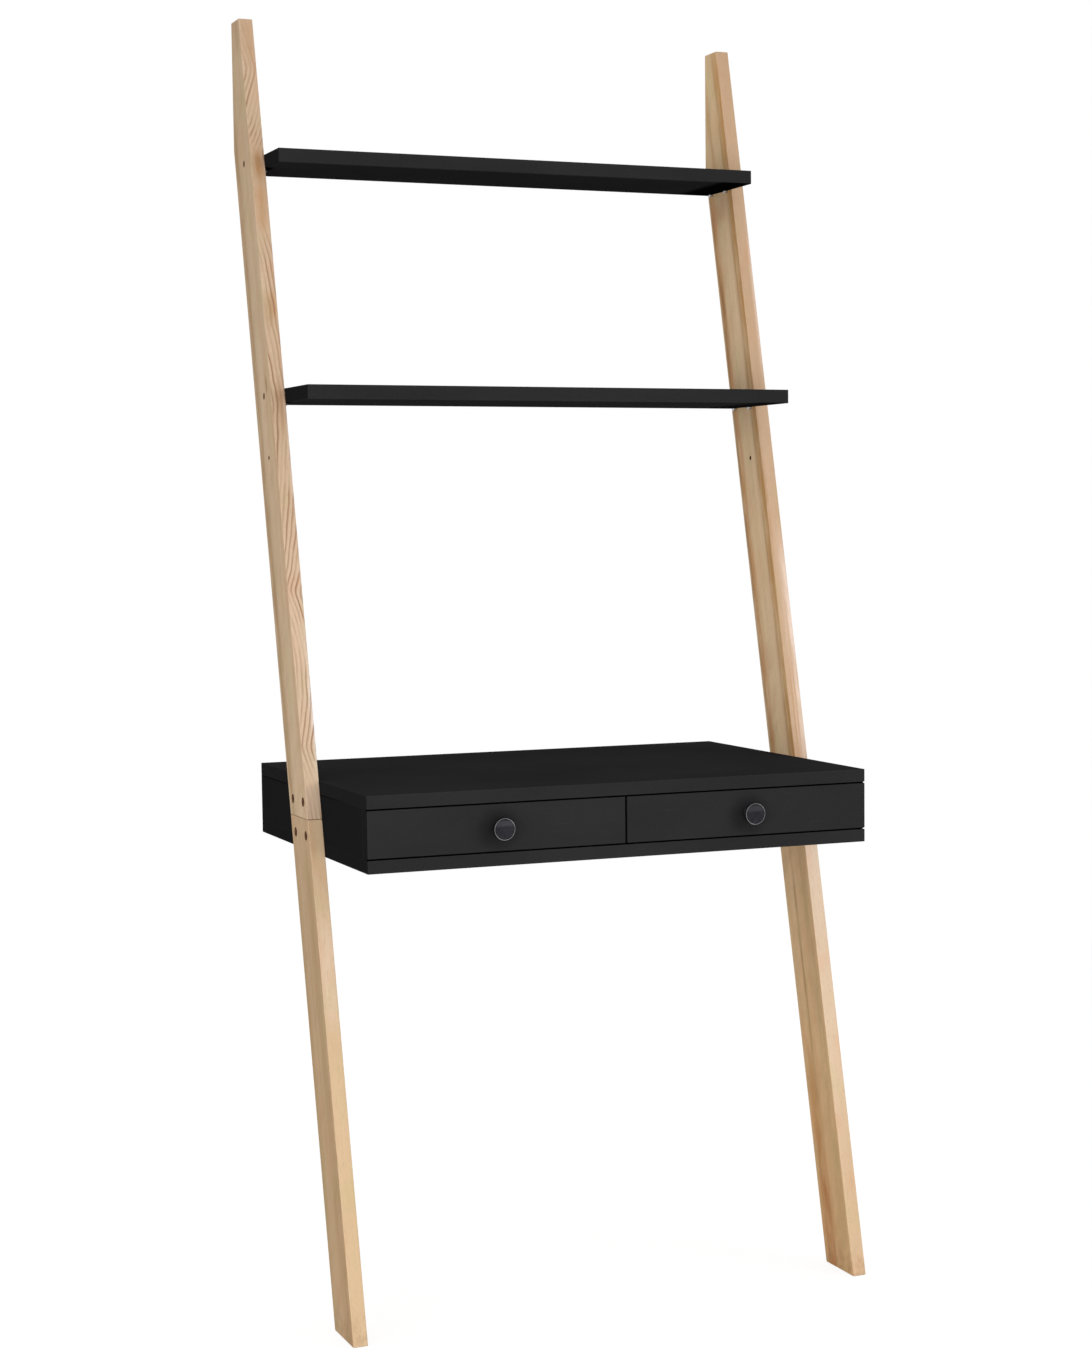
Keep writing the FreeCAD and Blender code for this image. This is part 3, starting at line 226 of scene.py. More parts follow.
def stains_and_highlights(colour, board, x, behind, height, flat, seed, marks):
    """Stains over the wood, and a few pale bands along an edge that are painted highlight, each a
    soft and patchy band (face, middle, width, low, high, depth, colour): a bell across its kind
    of face that fades in at its low and out at its high end."""
    wobble = board.noise((40, 40, 130), seed + 17) * 8.0 - 4.0
    patchy = board.noise((9, 9, 60), seed + 41).step(0.30, 0.62) * 0.6 + 0.4
    for face, middle, width, low, high, depth, mark_colour in marks:
        soft = min(60.0, (high - low) / 3)
        span = height.step(low - soft, low + soft) * height.step(high + soft, high - soft) * depth
        across, seen = (x, 1.0 - flat) if face == NARROW else (behind, flat)
        mark = ((across + wobble * min(width / 12, 1.0) - middle) / width).bell() * span * seen * patchy
        colour = mark.between(colour, mark_colour)
    return colour


def sawn_and_drilled(colour, spot, level, seed):
    """What the saw, the drill and the floor leave: dark end grain on the level cuts, grime at the
    foot, a brown line at the butt joint, and brown walls and a thin brown ring in each hole, which
    are partly the cut wood and partly painted shade in the recess."""
    colour = level.step(0.85, 0.97).between(colour, (0.55, 0.50, 0.45, 1.0), "MULTIPLY")
    up = spot.parts()[2]
    grime = up.step(60.0, 2.0) * spot.noise((9, 9, 14), seed + 37).step(0.35, 0.7)
    colour = (grime * 0.30).between(colour, chip(130, 104, 76))
    joint = (up - RAIL_JOINT_Z).size().step(1.1, 0.2)
    colour = (joint * 0.35).between(colour, chip(84, 62, 44))
    for holes, radius in ((SPARE_HOLES, 3.0), (SHELF_SCREWS, 4.4), (RAIL_BOLTS, 6.3)):
        for hole_z, reach in holes:
            off_hole = spot.node("ShaderNodeVectorMath", {"operation": "MULTIPLY_ADD"},
                                 {0: spot, 1: (0, 1, 1), 2: (0, -rail_y(hole_z, reach), -hole_z)})
            from_hole = off_hole.node("ShaderNodeVectorMath", {"operation": "LENGTH"}, {0: off_hole}, 1)
            # Partly cut wood and partly painted shade: the walls of the hole and a thin ring round it go
            # brown.
            rim = from_hole.step(radius + 0.7, radius + 0.1)
            colour = (rim * 0.9).between(colour, chip(104, 64, 40))
    return colour


def ash(node, side, seed, pith, bends, flame, narrow, broad, marks, calm=()):
    """Clear-oiled ash as a solid, worked out in the leaning board's own directions, round a pith
    that lies off the board. Its lines show by flame on the narrow faces and by a tenth on the
    broad ones. Fine fibre, pores in the early wood and paler rubbed edges lie over them."""
    material, shader, spot = new_finish("ash_" + node)
    board = spot.node("ShaderNodeMapping", (), {0: spot, "Rotation": (LEAN, 0, 0)})
    x, y, along = board.parts()
    x, behind = x - side * (DESK_SIDE + RAIL_THICK / 2), y - RAIL_FRONT
    height = (along - FOOT_Y * math.sin(LEAN)) * math.cos(LEAN)
    sideways, _, level = facing(spot)
    flat = sideways.step(0.45, 0.8)

    foot, top = (0.0, RAIL_JOINT_Z) if "lower" in node else (RAIL_JOINT_Z, RAIL_TOP_Z)
    tone = board.noise((60, 17, 380), seed + 11, 1.0).step(0.34, 0.66)
    colour = oiled_wood(board, flat, height.step(foot, top), tone, seed, narrow, broad)
    colour = stains_and_highlights(colour, board, x, behind, height, flat, seed, marks)
    grown, late = year_rings(board, height, (x - pith[0], behind - pith[1]), seed, bends, calm)
    shows = flame + flat * (0.10 - flame)
    colour = (late * shows).between(colour, chip(142, 92, 62))

    fibre = board.noise((0.7, 0.7, 45), seed + 23, 3.0)
    colour = (fibre.step(0.25, 0.75) * 0.10).between(colour, chip(176, 140, 104))
    pore = board.noise((0.32, 0.32, 5.5), seed + 29, 1.0).step(0.60, 0.68) * (1.0 - grown.step(0.3, 0.6))
    colour = (pore * 0.30).between(colour, chip(118, 88, 62))
    off_face, off_edge = x.size() - RAIL_THICK / 2, (behind - RAIL_BROAD / 2).size() - RAIL_BROAD / 2
    corner = x.maths("MINIMUM", off_face, off_edge)
    worn = corner.step(-1.7, -0.3) * spot.noise((7, 7, 30), seed + 31).step(0.42, 0.62)
    colour = (worn * 0.18).between(colour, chip(240, 220, 194))
    colour = sawn_and_drilled(colour, spot, level, seed)
    rough = 0.50 + tone * 0.06 + late * 0.08 + pore * 0.15 - worn * 0.08
    raised = fibre * 0.4 + late * 0.25 - pore * 0.7
    wire(shader, {"Base Color": colour, "Roughness": rough, "Specular IOR Level": 0.06,
                  "Normal": relief(raised, 0.35, 0.15)})
    dress(node, material)


LEFT, RIGHT = -1, 1
BROWN, OLIVE, AMBER, ROSE_AND_HIGHLIGHT = chip(150, 106, 62), chip(176, 148, 100), chip(200, 146, 92), chip(248, 224, 206)
ash("upper_rail_left", LEFT, 3.7, pith=(58.0, -14.0),
    bends=((797, 52, -24), (1012, 62, -30), (1285, 130, 20), (1545, 50, -18), (1640, 46, -24),
           (1762, 70, 32)),
    flame=0.82, narrow=(chip(228, 199, 170), chip(222, 193, 164)),
    broad=(chip(226, 199, 166), chip(216, 188, 154)),
    marks=((BROAD, 70, 13, 700, RAIL_TOP_Z, 0.85, chip(176, 142, 101)),
           (BROAD, 60, 6, 1280, 1310, 0.35, OLIVE), (BROAD, 18, 4, 1298, 1318, 0.90, BROWN),
           (BROAD, 8, 8, 700, 1290, 0.35, AMBER), (BROAD, 20, 25, 1795, 1850, 0.50, chip(180, 142, 104)),
           (NARROW, 1, 7, 1600, 1640, 0.75, chip(190, 136, 84)), (NARROW, -1, 8, 1525, 1590, 0.50, AMBER),
           (NARROW, 5, 6, 1400, 1435, 0.55, AMBER), (NARROW, -3, 8, 1385, 1430, 0.45, OLIVE),
           (NARROW, 2, 6, 1235, 1300, 0.60, chip(184, 134, 88)),
           (NARROW, 1, 8, 1772, RAIL_TOP_Z, 0.70, chip(186, 140, 96)),
           # Painted highlight: two pale bands along the right edge of this narrow face.
           (NARROW, 10, 4, 760, 930, 1.00, chip(252, 236, 222)), (NARROW, 10, 2.5, 1160, 1270, 0.80, ROSE_AND_HIGHLIGHT)),
    calm=((1570, 50), (1800, 52), (740, 45)))
# Painted light, in part: the colours at the foot, near the desk, are paler where the lamps reach less.
ash("upper_rail_right", RIGHT, 41.3, pith=(-52.0, -30.0), bends=((1500, 80, 6), (980, 60, 8)), flame=0.10,
    narrow=(chip(220, 187, 156), chip(212, 178, 146)), broad=(chip(255, 224, 180), chip(240, 209, 166)),
    marks=((BROAD, 69, 9, 730, 1650, 0.80, chip(214, 150, 94)), (BROAD, 75, 3, 730, 1650, 0.60, BROWN),
           (BROAD, 1, 3.5, 1060, RAIL_TOP_Z, 0.65, chip(150, 104, 66)),
           (BROAD, 70, 6, 1370, 1490, 0.70, BROWN), (BROAD, 29, 11, 730, 1600, 1.00, chip(255, 222, 182)),
           (BROAD, 81, 4, 880, 1290, 0.60, BROWN), (NARROW, -10, 3, 1060, 1290, 0.50, chip(176, 128, 84)),
           (BROAD, 5, 13, 700, RAIL_TOP_Z, 0.95, chip(214, 160, 98)),
           (BROAD, 16, 3, 740, RAIL_TOP_Z, 0.35, BROWN),
           (BROAD, 50, 30, 1580, 1612, 0.50, chip(206, 142, 102)), (BROAD, 50, 8, 1640, 1780, 0.50, AMBER),
           # Painted highlight: two rosy pale bands along the right edge of this narrow face.
           (NARROW, 7, 8, 740, 1060, 1.00, ROSE_AND_HIGHLIGHT), (NARROW, 9, 3, 1310, 1560, 0.60, ROSE_AND_HIGHLIGHT),
           (NARROW, 2, 1.6, 760, 960, 0.70, AMBER), (NARROW, -3, 1.6, 740, 880, 0.60, AMBER)))
ash("lower_rail_left", LEFT, 77.9, pith=(-52.0, -44.0), bends=((350, 120, 6),), flame=0.08,
    narrow=(chip(228, 197, 158), chip(228, 198, 162)), broad=(chip(213, 180, 140), chip(211, 179, 142)),
    marks=((BROAD, 12, 18, -60, 310, 0.55, chip(178, 138, 90)), (BROAD, 76, 9, 60, 640, 0.40, OLIVE),
           (BROAD, 20, 12, 300, 640, 0.35, OLIVE), (NARROW, -5, 6, 640, RAIL_JOINT_Z, 0.35, AMBER),
           (NARROW, 0, 14, 430, 560, 0.45, ROSE_AND_HIGHLIGHT)))
# Painted light, in part: the colours at the top, near the desk, are paler where the lamps reach less.
ash("lower_rail_right", RIGHT, 113.1, pith=(46.0, -48.0), bends=((260, 90, -6),), flame=0.07,
    narrow=(chip(230, 198, 162), chip(244, 220, 196)), broad=(chip(231, 192, 143), chip(250, 212, 166)),
    marks=((BROAD, 50, 3, 240, 600, 0.60, BROWN), (BROAD, 62, 15, -60, 330, 0.75, chip(206, 148, 92)),
           (BROAD, 58, 14, -60, 190, 0.75, chip(186, 124, 74)), (BROAD, 14, 12, 60, 640, 0.30, OLIVE),
           (BROAD, 30, 10, 380, 640, 0.35, AMBER)))


# ---------------------------------------------------------------- black boards of the desk
# The shelves, the desk box and the drawer fronts are of 18 to 20 mm board in satin black lacquer,
# sprayed after the edges were eased, so it is thinnest and soonest rubbed along the edges.

def edge_nearness(spot, low, high):
    """Nought on the nearest edge of a board and more negative inwards, in millimetres: the middle
    one of the three depths below the board's pairs of faces."""
    middle = tuple((low + high) * 500)
    half = tuple((high - low) * 500)
    inward = spot.node("ShaderNodeVectorMath", {"operation": "SUBTRACT"}, {0: spot, 1: middle})
    inward = inward.node("ShaderNodeVectorMath", {"operation": "ABSOLUTE"}, {0: inward})
    inward = inward.node("ShaderNodeVectorMath", {"operation": "SUBTRACT"}, {0: inward, 1: half})
    a, b, c = inward.parts()
    lesser, greater = a.maths("MINIMUM", a, b), a.maths("MAXIMUM", a, b)
    return a.maths("MAXIMUM", lesser, a.maths("MINIMUM", greater, c))


FRONT_Y, BAY_Z, LID_Z = -247.0, 664.0, 732.0
GAP_DEEP = 4.0
KNOB_X, KNOB_Z = 186.25, 698.0


def sideways(spot):
    """1 where a board faces sideways and 0 elsewhere."""
    return facing(spot)[0].step(0.6, 0.9)


# The next six are painted shade: each says how deep it lies on a board, 0 to 1, from its coordinates and its
# box.

def shade_on_ends(spot, low, high):
    """Painted shade on what faces sideways: the ends of the boards that lie across, and the desk's sides."""
    return sideways(spot) * 0.75


def shadow_under_lid(spot, low, high):
    """A painted shadow: a thin line along the top of a side panel, just under the lid, fading out
    to the front.
    """
    _, depth, up = spot.parts()
    return (up - high.z * 1000).step(-2.4, -1.0) * depth.step(-190.0, -60.0) * 0.6


def shade_under_shelf(spot, low, high, all_over=0.0):
    """Painted shade on a shelf's underside by the rails: a soft broad band inside the right one, a
    narrow one against the left one from a little before its front edge, and a share all over."""
    across, depth, up = spot.parts()
    band = (across - DESK_SIDE).step(-66.0, -38.0)
    nook = (across + DESK_SIDE).step(14.0, 6.0) * (depth - rail_y(low.z * 1000, 0.0)).step(-14.0, -5.0)
    return (up - low.z * 1000).step(1.4, 0.4) * (band * 0.75 + nook * 0.85 + all_over)


def shade_under_top_shelf(spot, low, high):
    """Painted shade on the top shelf's underside, which gets less light all over."""
    return shade_under_shelf(spot, low, high, 0.36)


def shade_in_gaps(spot, low, high):
    """Painted shade on the faces that line the gaps above and below the drawer fronts, from just
    behind the front to the bottom of the gap."""
    _, depth, up = spot.parts()
    behind = depth - FRONT_Y
    shaded_lining = behind.step(0.05, 0.35) * behind.step(GAP_DEEP + 2.0, GAP_DEEP + 0.5)
    shaded_lining = shaded_lining * up.step(BAY_Z - 1.0, BAY_Z - 0.3) * up.step(LID_Z + 1.0, LID_Z + 0.3)
    return shaded_lining * (1.0 - sideways(spot))


def shadow_round_knob(spot, low, high):
    """A painted shadow round a knob and a little below it: its distance is the root of x^2 + z^2."""
    across, _, up = spot.parts()
    off_x, off_z = across.size() - KNOB_X, up - KNOB_Z + 3.0
    return (off_x * off_x + off_z * off_z).root().step(38.0, 15.0) * 0.4


def lacquer(node, seed, painted_shades):
    """Satin black lacquer: cloudy by a few parts in a hundred, pebbled like orange skin, duller
    where hands rub, and greyer along the eased edges. Painted shade is laid over it last: each
    (where, colour) pair darkens it where its mask says."""
    material, shader, spot = new_finish("lacquer_" + node)
    low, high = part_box(node)
    cloud = spot.noise((210, 160, 90), seed, 3.0)
    peel = spot.noise((2.2, 2.2, 2.2), seed + 3, 2.0)
    rubbed = spot.noise((55, 35, 25), seed + 7, 4.0).step(0.48, 0.72)
    scuff = spot.noise((46, 1.1, 1.1), seed + 9, 2.0).step(0.66, 0.72) * rubbed
    colour = (cloud.step(0.3, 0.7) * 0.5).between(chip(46, 46, 47), chip(38, 38, 38))
    colour = (peel.step(0.3, 0.7) * 0.10).between(colour, chip(58, 58, 60))
    colour = (scuff * 0.22).between(colour, chip(84, 84, 85))
    worn = edge_nearness(spot, low, high).step(-1.0, -0.2)
    worn = worn * (0.35 + spot.noise((12, 12, 5), seed + 13, 3.0).step(0.44, 0.64) * 0.65)
    colour = (worn * 0.12).between(colour, chip(92, 91, 89))
    for where, shade_colour in painted_shades:
        colour = where(spot, low, high).between(colour, shade_colour)
    rough = 0.66 + cloud * 0.05 - rubbed * 0.06 - worn * 0.08
    wire(shader, {"Base Color": colour, "Roughness": rough, "Specular IOR Level": 0.0,
                  "Normal": relief(peel, 0.10, 0.10)})
    dress(node, material)


# Painted shade on each board: each pair is a mask of shade and the darker colour laid with it.
SHADED_ENDS, SHADED_LID_ENDS = (shade_on_ends, chip(27, 27, 28)), (shade_on_ends, chip(33, 33, 34))
SIDE_SHADES = (SHADED_ENDS, (shadow_under_lid, chip(8, 8, 8)))
GAP_SHADE = (shade_in_gaps, chip(3, 3, 3))
FRONT_SHADES = (SHADED_ENDS, GAP_SHADE, (shadow_round_knob, chip(24, 24, 25)))
BOARD_SHADES = {
    "top_shelf": (SHADED_ENDS, (shade_under_top_shelf, chip(6, 6, 6))),
    "middle_shelf": (SHADED_ENDS, (shade_under_shelf, chip(6, 6, 6))),
    "divider_panel": (SHADED_ENDS,), "back_panel": (SHADED_ENDS,),
    "side_panel_left": SIDE_SHADES, "side_panel_right": SIDE_SHADES,
    "desk_top": (SHADED_LID_ENDS, GAP_SHADE), "desk_base": (SHADED_ENDS, GAP_SHADE),
    "left_drawer_front": FRONT_SHADES, "right_drawer_front": FRONT_SHADES}
for number, (board, painted_shades) in enumerate(BOARD_SHADES.items()):
    lacquer(board, 5.3 + 19.0 * number, painted_shades)


# ---------------------------------------------------------------- drawer boxes
# Each drawer is a box of 12 mm board in dark graphite foil with a faint pressed grain, round a
# bottom of 4 mm faced board that slides in a groove of the four walls.

def foil(node, seed, grain_axis):
    """Graphite foil with a pressed wood grain: long thin dents along one axis, rubbed on the edges."""
    material, shader, spot = new_finish("foil_" + node)
    low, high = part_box(node)
    grain_size, band_size = [0.9] * 3, [26.0] * 3
    grain_size[grain_axis], band_size[grain_axis] = 34.0, 240.0
    grain = spot.noise(grain_size, seed, 3.0)
    band = spot.noise(band_size, seed + 3, 2.0)
    colour = band.step(0.35, 0.65).between(chip(62, 62, 64), chip(52, 52, 53))
    colour = (grain.step(0.52, 0.70) * 0.45).between(colour, chip(34, 34, 35))
    worn = edge_nearness(spot, low, high).step(-1.0, -0.2) * spot.noise((9, 9, 9), seed + 5).step(0.4, 0.65)
    colour = (worn * 0.35).between(colour, chip(104, 100, 96))
    dust = facing(spot)[2].step(0.7, 0.95) * spot.noise((14, 14, 14), seed + 7, 4.0).step(0.5, 0.8)
    colour = (dust * 0.12).between(colour, chip(120, 118, 114))
    rough = 0.55 + band * 0.10 + dust * 0.10
    wire(shader, {"Base Color": colour, "Roughness": rough, "Specular IOR Level": 0.15,
                  "Normal": relief(1.0 - grain.step(0.5, 0.72), 0.30, 0.10)})
    dress(node, material)


def faced_board(node, seed):
    """Thin board with a printed dark face: fine mottling, and a little dust in the corners."""
    material, shader, spot = new_finish("faced_" + node)
    low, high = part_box(node)
    mottle = spot.noise((3.2, 3.2, 3.2), seed, 4.0)
    cloud = spot.noise((80, 80, 80), seed + 3, 2.0)
    colour = mottle.step(0.35, 0.65).between(chip(66, 65, 65), chip(56, 55, 55))
    colour = (cloud.step(0.35, 0.7) * 0.4).between(colour, chip(74, 72, 70))
    corner = edge_nearness(spot, low, high).step(-26.0, -6.0) * mottle.step(0.45, 0.75)
    colour = (corner * 0.25).between(colour, chip(104, 99, 92))
    rough = 0.58 + mottle * 0.12
    wire(shader, {"Base Color": colour, "Roughness": rough, "Specular IOR Level": 0.15,
                  "Normal": relief(mottle, 0.15, 0.08)})
    dress(node, material)


SIDES = {"left": LEFT, "right": RIGHT}
X_AXIS, Y_AXIS = 0, 1
WALL_GRAINS = {"box_front": X_AXIS, "back": X_AXIS, "inner_side": Y_AXIS, "outer_side": Y_AXIS}
for number, side in enumerate(SIDES):
    for step, (board, axis) in enumerate(WALL_GRAINS.items()):
        foil(f"{side}_drawer_{board}", 7.1 + 31.0 * number + 5.0 * step, axis)
    faced_board(f"{side}_drawer_bottom", 91.0 + 13.0 * number)


# ---------------------------------------------------------------- knobs
# Two turned knobs of dark gunmetal, each a dished disc with a bead round its rim on a waisted
# neck. The bead is rubbed bright, with a painted highlight low on its right and a painted
# reflection across the disc's upper half. A screw from inside the drawer holds each one.

def eased(corners, steps=5):
    """A line through corners, each (radius, height, ease): a corner c is cut back by its ease to a
    and b on its two sides, and bridged by the parabola (1-t)^2 a + 2t(1-t) c + t^2 b."""
    points = np.array([corner[:2] for corner in corners], float)
    line = [points[:1]]
    t = np.linspace(0, 1, steps)[:, None]
    for before, at, after, ease in zip(points, points[1:], points[2:], [c[2] for c in corners[1:-1]]):
        if ease == 0:
            line.append(at[None])
            continue
        a = at + (before - at) * ease / np.linalg.norm(before - at)
        b = at + (after - at) * ease / np.linalg.norm(after - at)
        line.append((1 - t) ** 2 * a + 2 * t * (1 - t) * at + t ** 2 * b)
    return np.concatenate(line + [points[-1:]])


def turn_steps(around):
    """Equal angles once round."""
    return np.linspace(0, 2 * np.pi, around, endpoint=False)


def rings(radius, height, around):
    """Rings about an axis: angle a, radius r and height h become (r cos a, r sin a, h)."""
    angle = turn_steps(around)
    radius, height = (np.broadcast_to(rows, (len(rows), around)) for rows in (radius, height))
    return np.stack([radius * np.cos(angle), radius * np.sin(angle), height], axis=-1)


def skin(rows):
    """The closed skin over rings of points: the first and the last ring close to their middles,
    and point j of ring i joins point j + 1 and the points of ring i + 1."""
    count, around = len(rows) - 2, rows.shape[1]
    corners = np.concatenate([rows[:1].mean(axis=1), rows[1:-1].reshape(-1, 3), rows[-1:].mean(axis=1)])
    ring = np.arange(around)
    ahead = (ring + 1) % around
    start = 1 + around * np.arange(count - 1)[:, None]
    quads = np.stack([start + ring, start + ahead, start + ahead + around, start + ring + around], axis=-1)
    last = 1 + around * (count - 1)
    low = np.stack([0 * ring, 1 + ahead, 1 + ring], axis=-1)
    high = np.stack([last + ring, last + ahead, 0 * ring + len(corners) - 1], axis=-1)
    return corners, quads.reshape(-1, 4), np.concatenate([low, high])


def turned(outline, around):
    """The skin of an eased outline, carried once round its axis."""
    line = eased(outline)
    return skin(rings(line[:, :1], line[:, 1:], around))


def towards(x, y, z):
    """The turn that points a pattern's height along a direction."""
    height = np.array([x, y, z], float) / np.linalg.norm([x, y, z])
    across = np.array([1.0, 0, 0]) if abs(height[0]) < 0.9 else np.array([0, 1.0, 0])
    across = across - height * (across @ height)
    across = across / np.linalg.norm(across)
    return np.stack([across, np.cross(height, across), height])


def set_out(name, pattern, places, material, body, crisp=32):
    """One piece made of copies of a pattern in millimetres, each at a place and a turn. It stands
    for the frame's node of the same name."""
    corners, quads, triangles = pattern
    spots, faces = [], []
    for number, (place, turn) in enumerate(places):
        spots.append((corners @ turn + np.array(place)) / 1000)
        faces += (quads + number * len(corners)).tolist() + (triangles + number * len(corners)).tolist()
    mesh = bpy.data.meshes.new(name)
    mesh.from_pydata(np.concatenate(spots).tolist(), [], faces)
    mesh.materials.append(material)
    mesh.shade_smooth()
    mesh.set_sharp_from_angle(angle=math.radians(crisp))
    piece = bpy.data.objects.new(name + "_made", mesh)
    bpy.context.scene.collection.objects.link(piece)
    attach(piece, body)
    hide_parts(name)
    return piece


KNOB_OUTLINE = (
    (0, 12, 0), (2.1, 12, 0.3), (2.1, 0, 0.2), (8, 0, 0.4), (8, 1.7, 0.5), (5.6, 2.6, 1.0), (4.9, 7, 2.0),
    (5.1, 11.4, 2.6), (10.2, 16.4, 2.4), (14.2, 16.9, 0.9), (15, 18.1, 0.6), (15, 22.0, 0.5),
    (14.65, 22.85, 0.25), (14.3, 23, 0), (13.9, 23, 0), (13.4, 22.75, 0.2), (13.0, 22.2, 0.35),
    (7, 21.95, 2.0), (0, 22.0, 0))


def gunmetal(name, x):
    """Dark gunmetal: faint turning lines round the axis, a paler bead round the rim, rubbed bright and
    made brightest low on its right as a painted highlight, and a greyer band across the upper half
    as a painted reflection. The radius is the root of x^2 + z^2."""
    material, shader, spot = new_finish(name)
    middle = (x, FRONT_Y, KNOB_Z)
    across, out, up = spot.node("ShaderNodeVectorMath", {"operation": "SUBTRACT"},
                                {0: spot, 1: middle}).parts()
    radius = (across * across + up * up).root()
    bead = radius.step(14.0, 14.3) * out.step(-21.6, -22.6)
    # Painted highlight: the bead is made brightest low on its right.
    bead = bead * ((across - up * 0.7).step(-15.0, 9.0) * 0.6 + 0.4)
    turning = radius.maths("SINE", radius * 9.0)
    smoke = spot.noise((6, 6, 6), x, 3.0)
    rubbed = spot.noise((2.5, 2.5, 2.5), x + 3, 3.0).step(0.4, 0.65)
    # Painted reflection: a greyer band across the upper half of the disc.
    painted_sheen = up.step(2.0, 6.0) * up.step(13.0, 10.0)
    colour = smoke.step(0.3, 0.7).between(chip(45, 44, 48), chip(38, 37, 41))
    colour = (painted_sheen * 0.5).between(colour, chip(70, 69, 74))
    colour = (bead * (0.6 + rubbed * 0.4)).between(colour, chip(180, 178, 178))
    rough = 0.46 + smoke * 0.10 + turning * 0.02 - bead * 0.12
    wire(shader, {"Base Color": colour, "Metallic": 1.0, "Roughness": rough,
                  "Normal": relief(turning * 0.5 + smoke, 0.08, 0.05)})
    return material


for side_name, side in SIDES.items():
    set_out(f"{side_name}_drawer_knob", turned(KNOB_OUTLINE, 72),
            [((side * KNOB_X, FRONT_Y, KNOB_Z), towards(0, -1, 0))],
            gunmetal(f"gunmetal_{side_name}", side * KNOB_X), f"{side_name}_drawer")


# ---------------------------------------------------------------- screws and bolts
# Browned bolts with hexagon sockets clamp the rails to the desk's sides, their heads sunk in round
# recesses, and browned screws hold the shelves. Zinc-plated screws join the boards and the runners,
# and zinc-plated pins carry the shelves' ends.

def cross_reach(angle, arm):
    """How far a cross recess reaches at an angle: the further of two bars, arm long each way and
    0.27 of that wide, so a ray leaves a bar at the lesser of long / |cos| and wide / |sin|."""
    long, wide = arm, arm * math.tan(math.radians(15))
    c, s = np.abs(np.cos(angle)) + 1e-9, np.abs(np.sin(angle)) + 1e-9
    return np.maximum(np.minimum(long / c, wide / s), np.minimum(wide / c, long / s))


def hex_reach(angle, key):
    """How far a hexagon socket reaches at an angle: half its key over the cosine from its flat."""
    sixth = np.pi / 3
    return key / 2 / np.cos((angle + sixth / 2) % sixth - sixth / 2)


def fastener(wide, threaded, pitch, bite, head, reach, deep, taper):
    """A screw or bolt, tip down. The shank's radius is a cone up to half its width, less a share of
    bite where the wave of height / pitch - angle / turn is low. The head's outline follows, then
    the recess: its reach at each angle at the top, narrowed by taper deep below, and a blunt cone."""
    around = len(reach)
    height = np.arange(0, threaded, pitch / 5)[:, None]
    cone = np.minimum(wide / 2, wide / 6 + height * 0.8)
    wave = np.abs((height / pitch - turn_steps(around) / (2 * np.pi)) % 1 * 2 - 1)
    shank = cone * (1 - bite * (1 - wave) * np.clip((threaded - height) / pitch, 0, 1))
    head = eased(((wide / 2, threaded, 0), *head))
    top = head[-1, 1]
    shares = np.array([1, taper, 0.35 * taper, 0])[:, None]
    falls = np.array([0, deep, deep * 1.1, deep * 1.15])[:, None]
    radius = np.concatenate([shank[:1] * 0, shank, head[:, :1] + 0 * reach, shares * reach])
    height = np.concatenate([height[:1], height, head[:, 1:], top - falls])
    return skin(rings(radius, height, around))


def zinc_plate(name, seed=2.0, pale=chip(186, 189, 193), deep=chip(160, 163, 168), shaded_side=0):
    """Zinc plating: bluish grey clouds with a straw tinge, matt where it is thick. On a shaded side
    of the desk, painted shade darkens it nearly to black."""
    material, shader, spot = new_finish(name)
    cloud = spot.noise((4, 4, 4), seed, 3.0)
    straw = spot.noise((11, 11, 11), seed + 3, 2.0).step(0.5, 0.75)
    speck = spot.noise((0.5, 0.5, 0.5), seed + 5, 2.0)
    colour = cloud.step(0.3, 0.7).between(pale, deep)
    colour = (straw * 0.30).between(colour, chip(190, 180, 150))
    # Painted shade: on the shaded side of the desk the plating is darkened nearly to black.
    if shaded_side:
        oiled = (spot.parts()[0] * shaded_side).step(0.0, 50.0) * (0.9 + cloud * 0.1)
        colour = oiled.between(colour, chip(26, 25, 24))
    wire(shader, {"Base Color": colour, "Metallic": 1.0, "Roughness": 0.28 + cloud * 0.16 + speck * 0.05,
                  "Normal": relief(speck, 0.15, 0.03)})
    return material


def browned_steel(name, seed=4.0, pale=chip(124, 84, 60), deep=chip(88, 58, 40)):
    """Browned steel: cloudy oily brown, paler where tools have rubbed it."""
    material, shader, spot = new_finish(name)
    cloud = spot.noise((5, 5, 5), seed, 3.0)
    rubbed = spot.noise((1.6, 1.6, 1.6), seed + 3, 3.0).step(0.56, 0.70)
    colour = cloud.step(0.3, 0.7).between(pale, deep)
    colour = (rubbed * 0.25).between(colour, chip(124, 96, 72))
    wire(shader, {"Base Color": colour, "Metallic": 0.15, "Roughness": 0.58 + cloud * 0.12 - rubbed * 0.10,
                  "Specular IOR Level": 0.1, "Normal": relief(cloud, 0.12, 0.05)})
    return material


def from_sides(inward, spots):
    """Both sides' places of pieces that point outwards through the rails at each height and reach,
    their tips this far inside the desk's sides."""
    return [((side * (DESK_SIDE - inward), rail_y(height, reach), height), towards(side, 0, 0))
            for side in (LEFT, RIGHT) for height, reach in spots]


zinc, browned = zinc_plate("zinc_plate"), browned_steel("browned_steel")
turns = turn_steps(24)

BOLT_HEAD = (3, 28.8, 0.3), (6, 28.8, 0.3), (6, 32.8, 0.6), (4.6, 32.8, 0)
bolt = fastener(6.0, 20.0, 1.0, 0.14, BOLT_HEAD, hex_reach(turn_steps(48), 4.0), 2.6, 0.98)
set_out("rail_bolts", bolt, from_sides(13.0, RAIL_BOLTS), browned, "desk_frame")

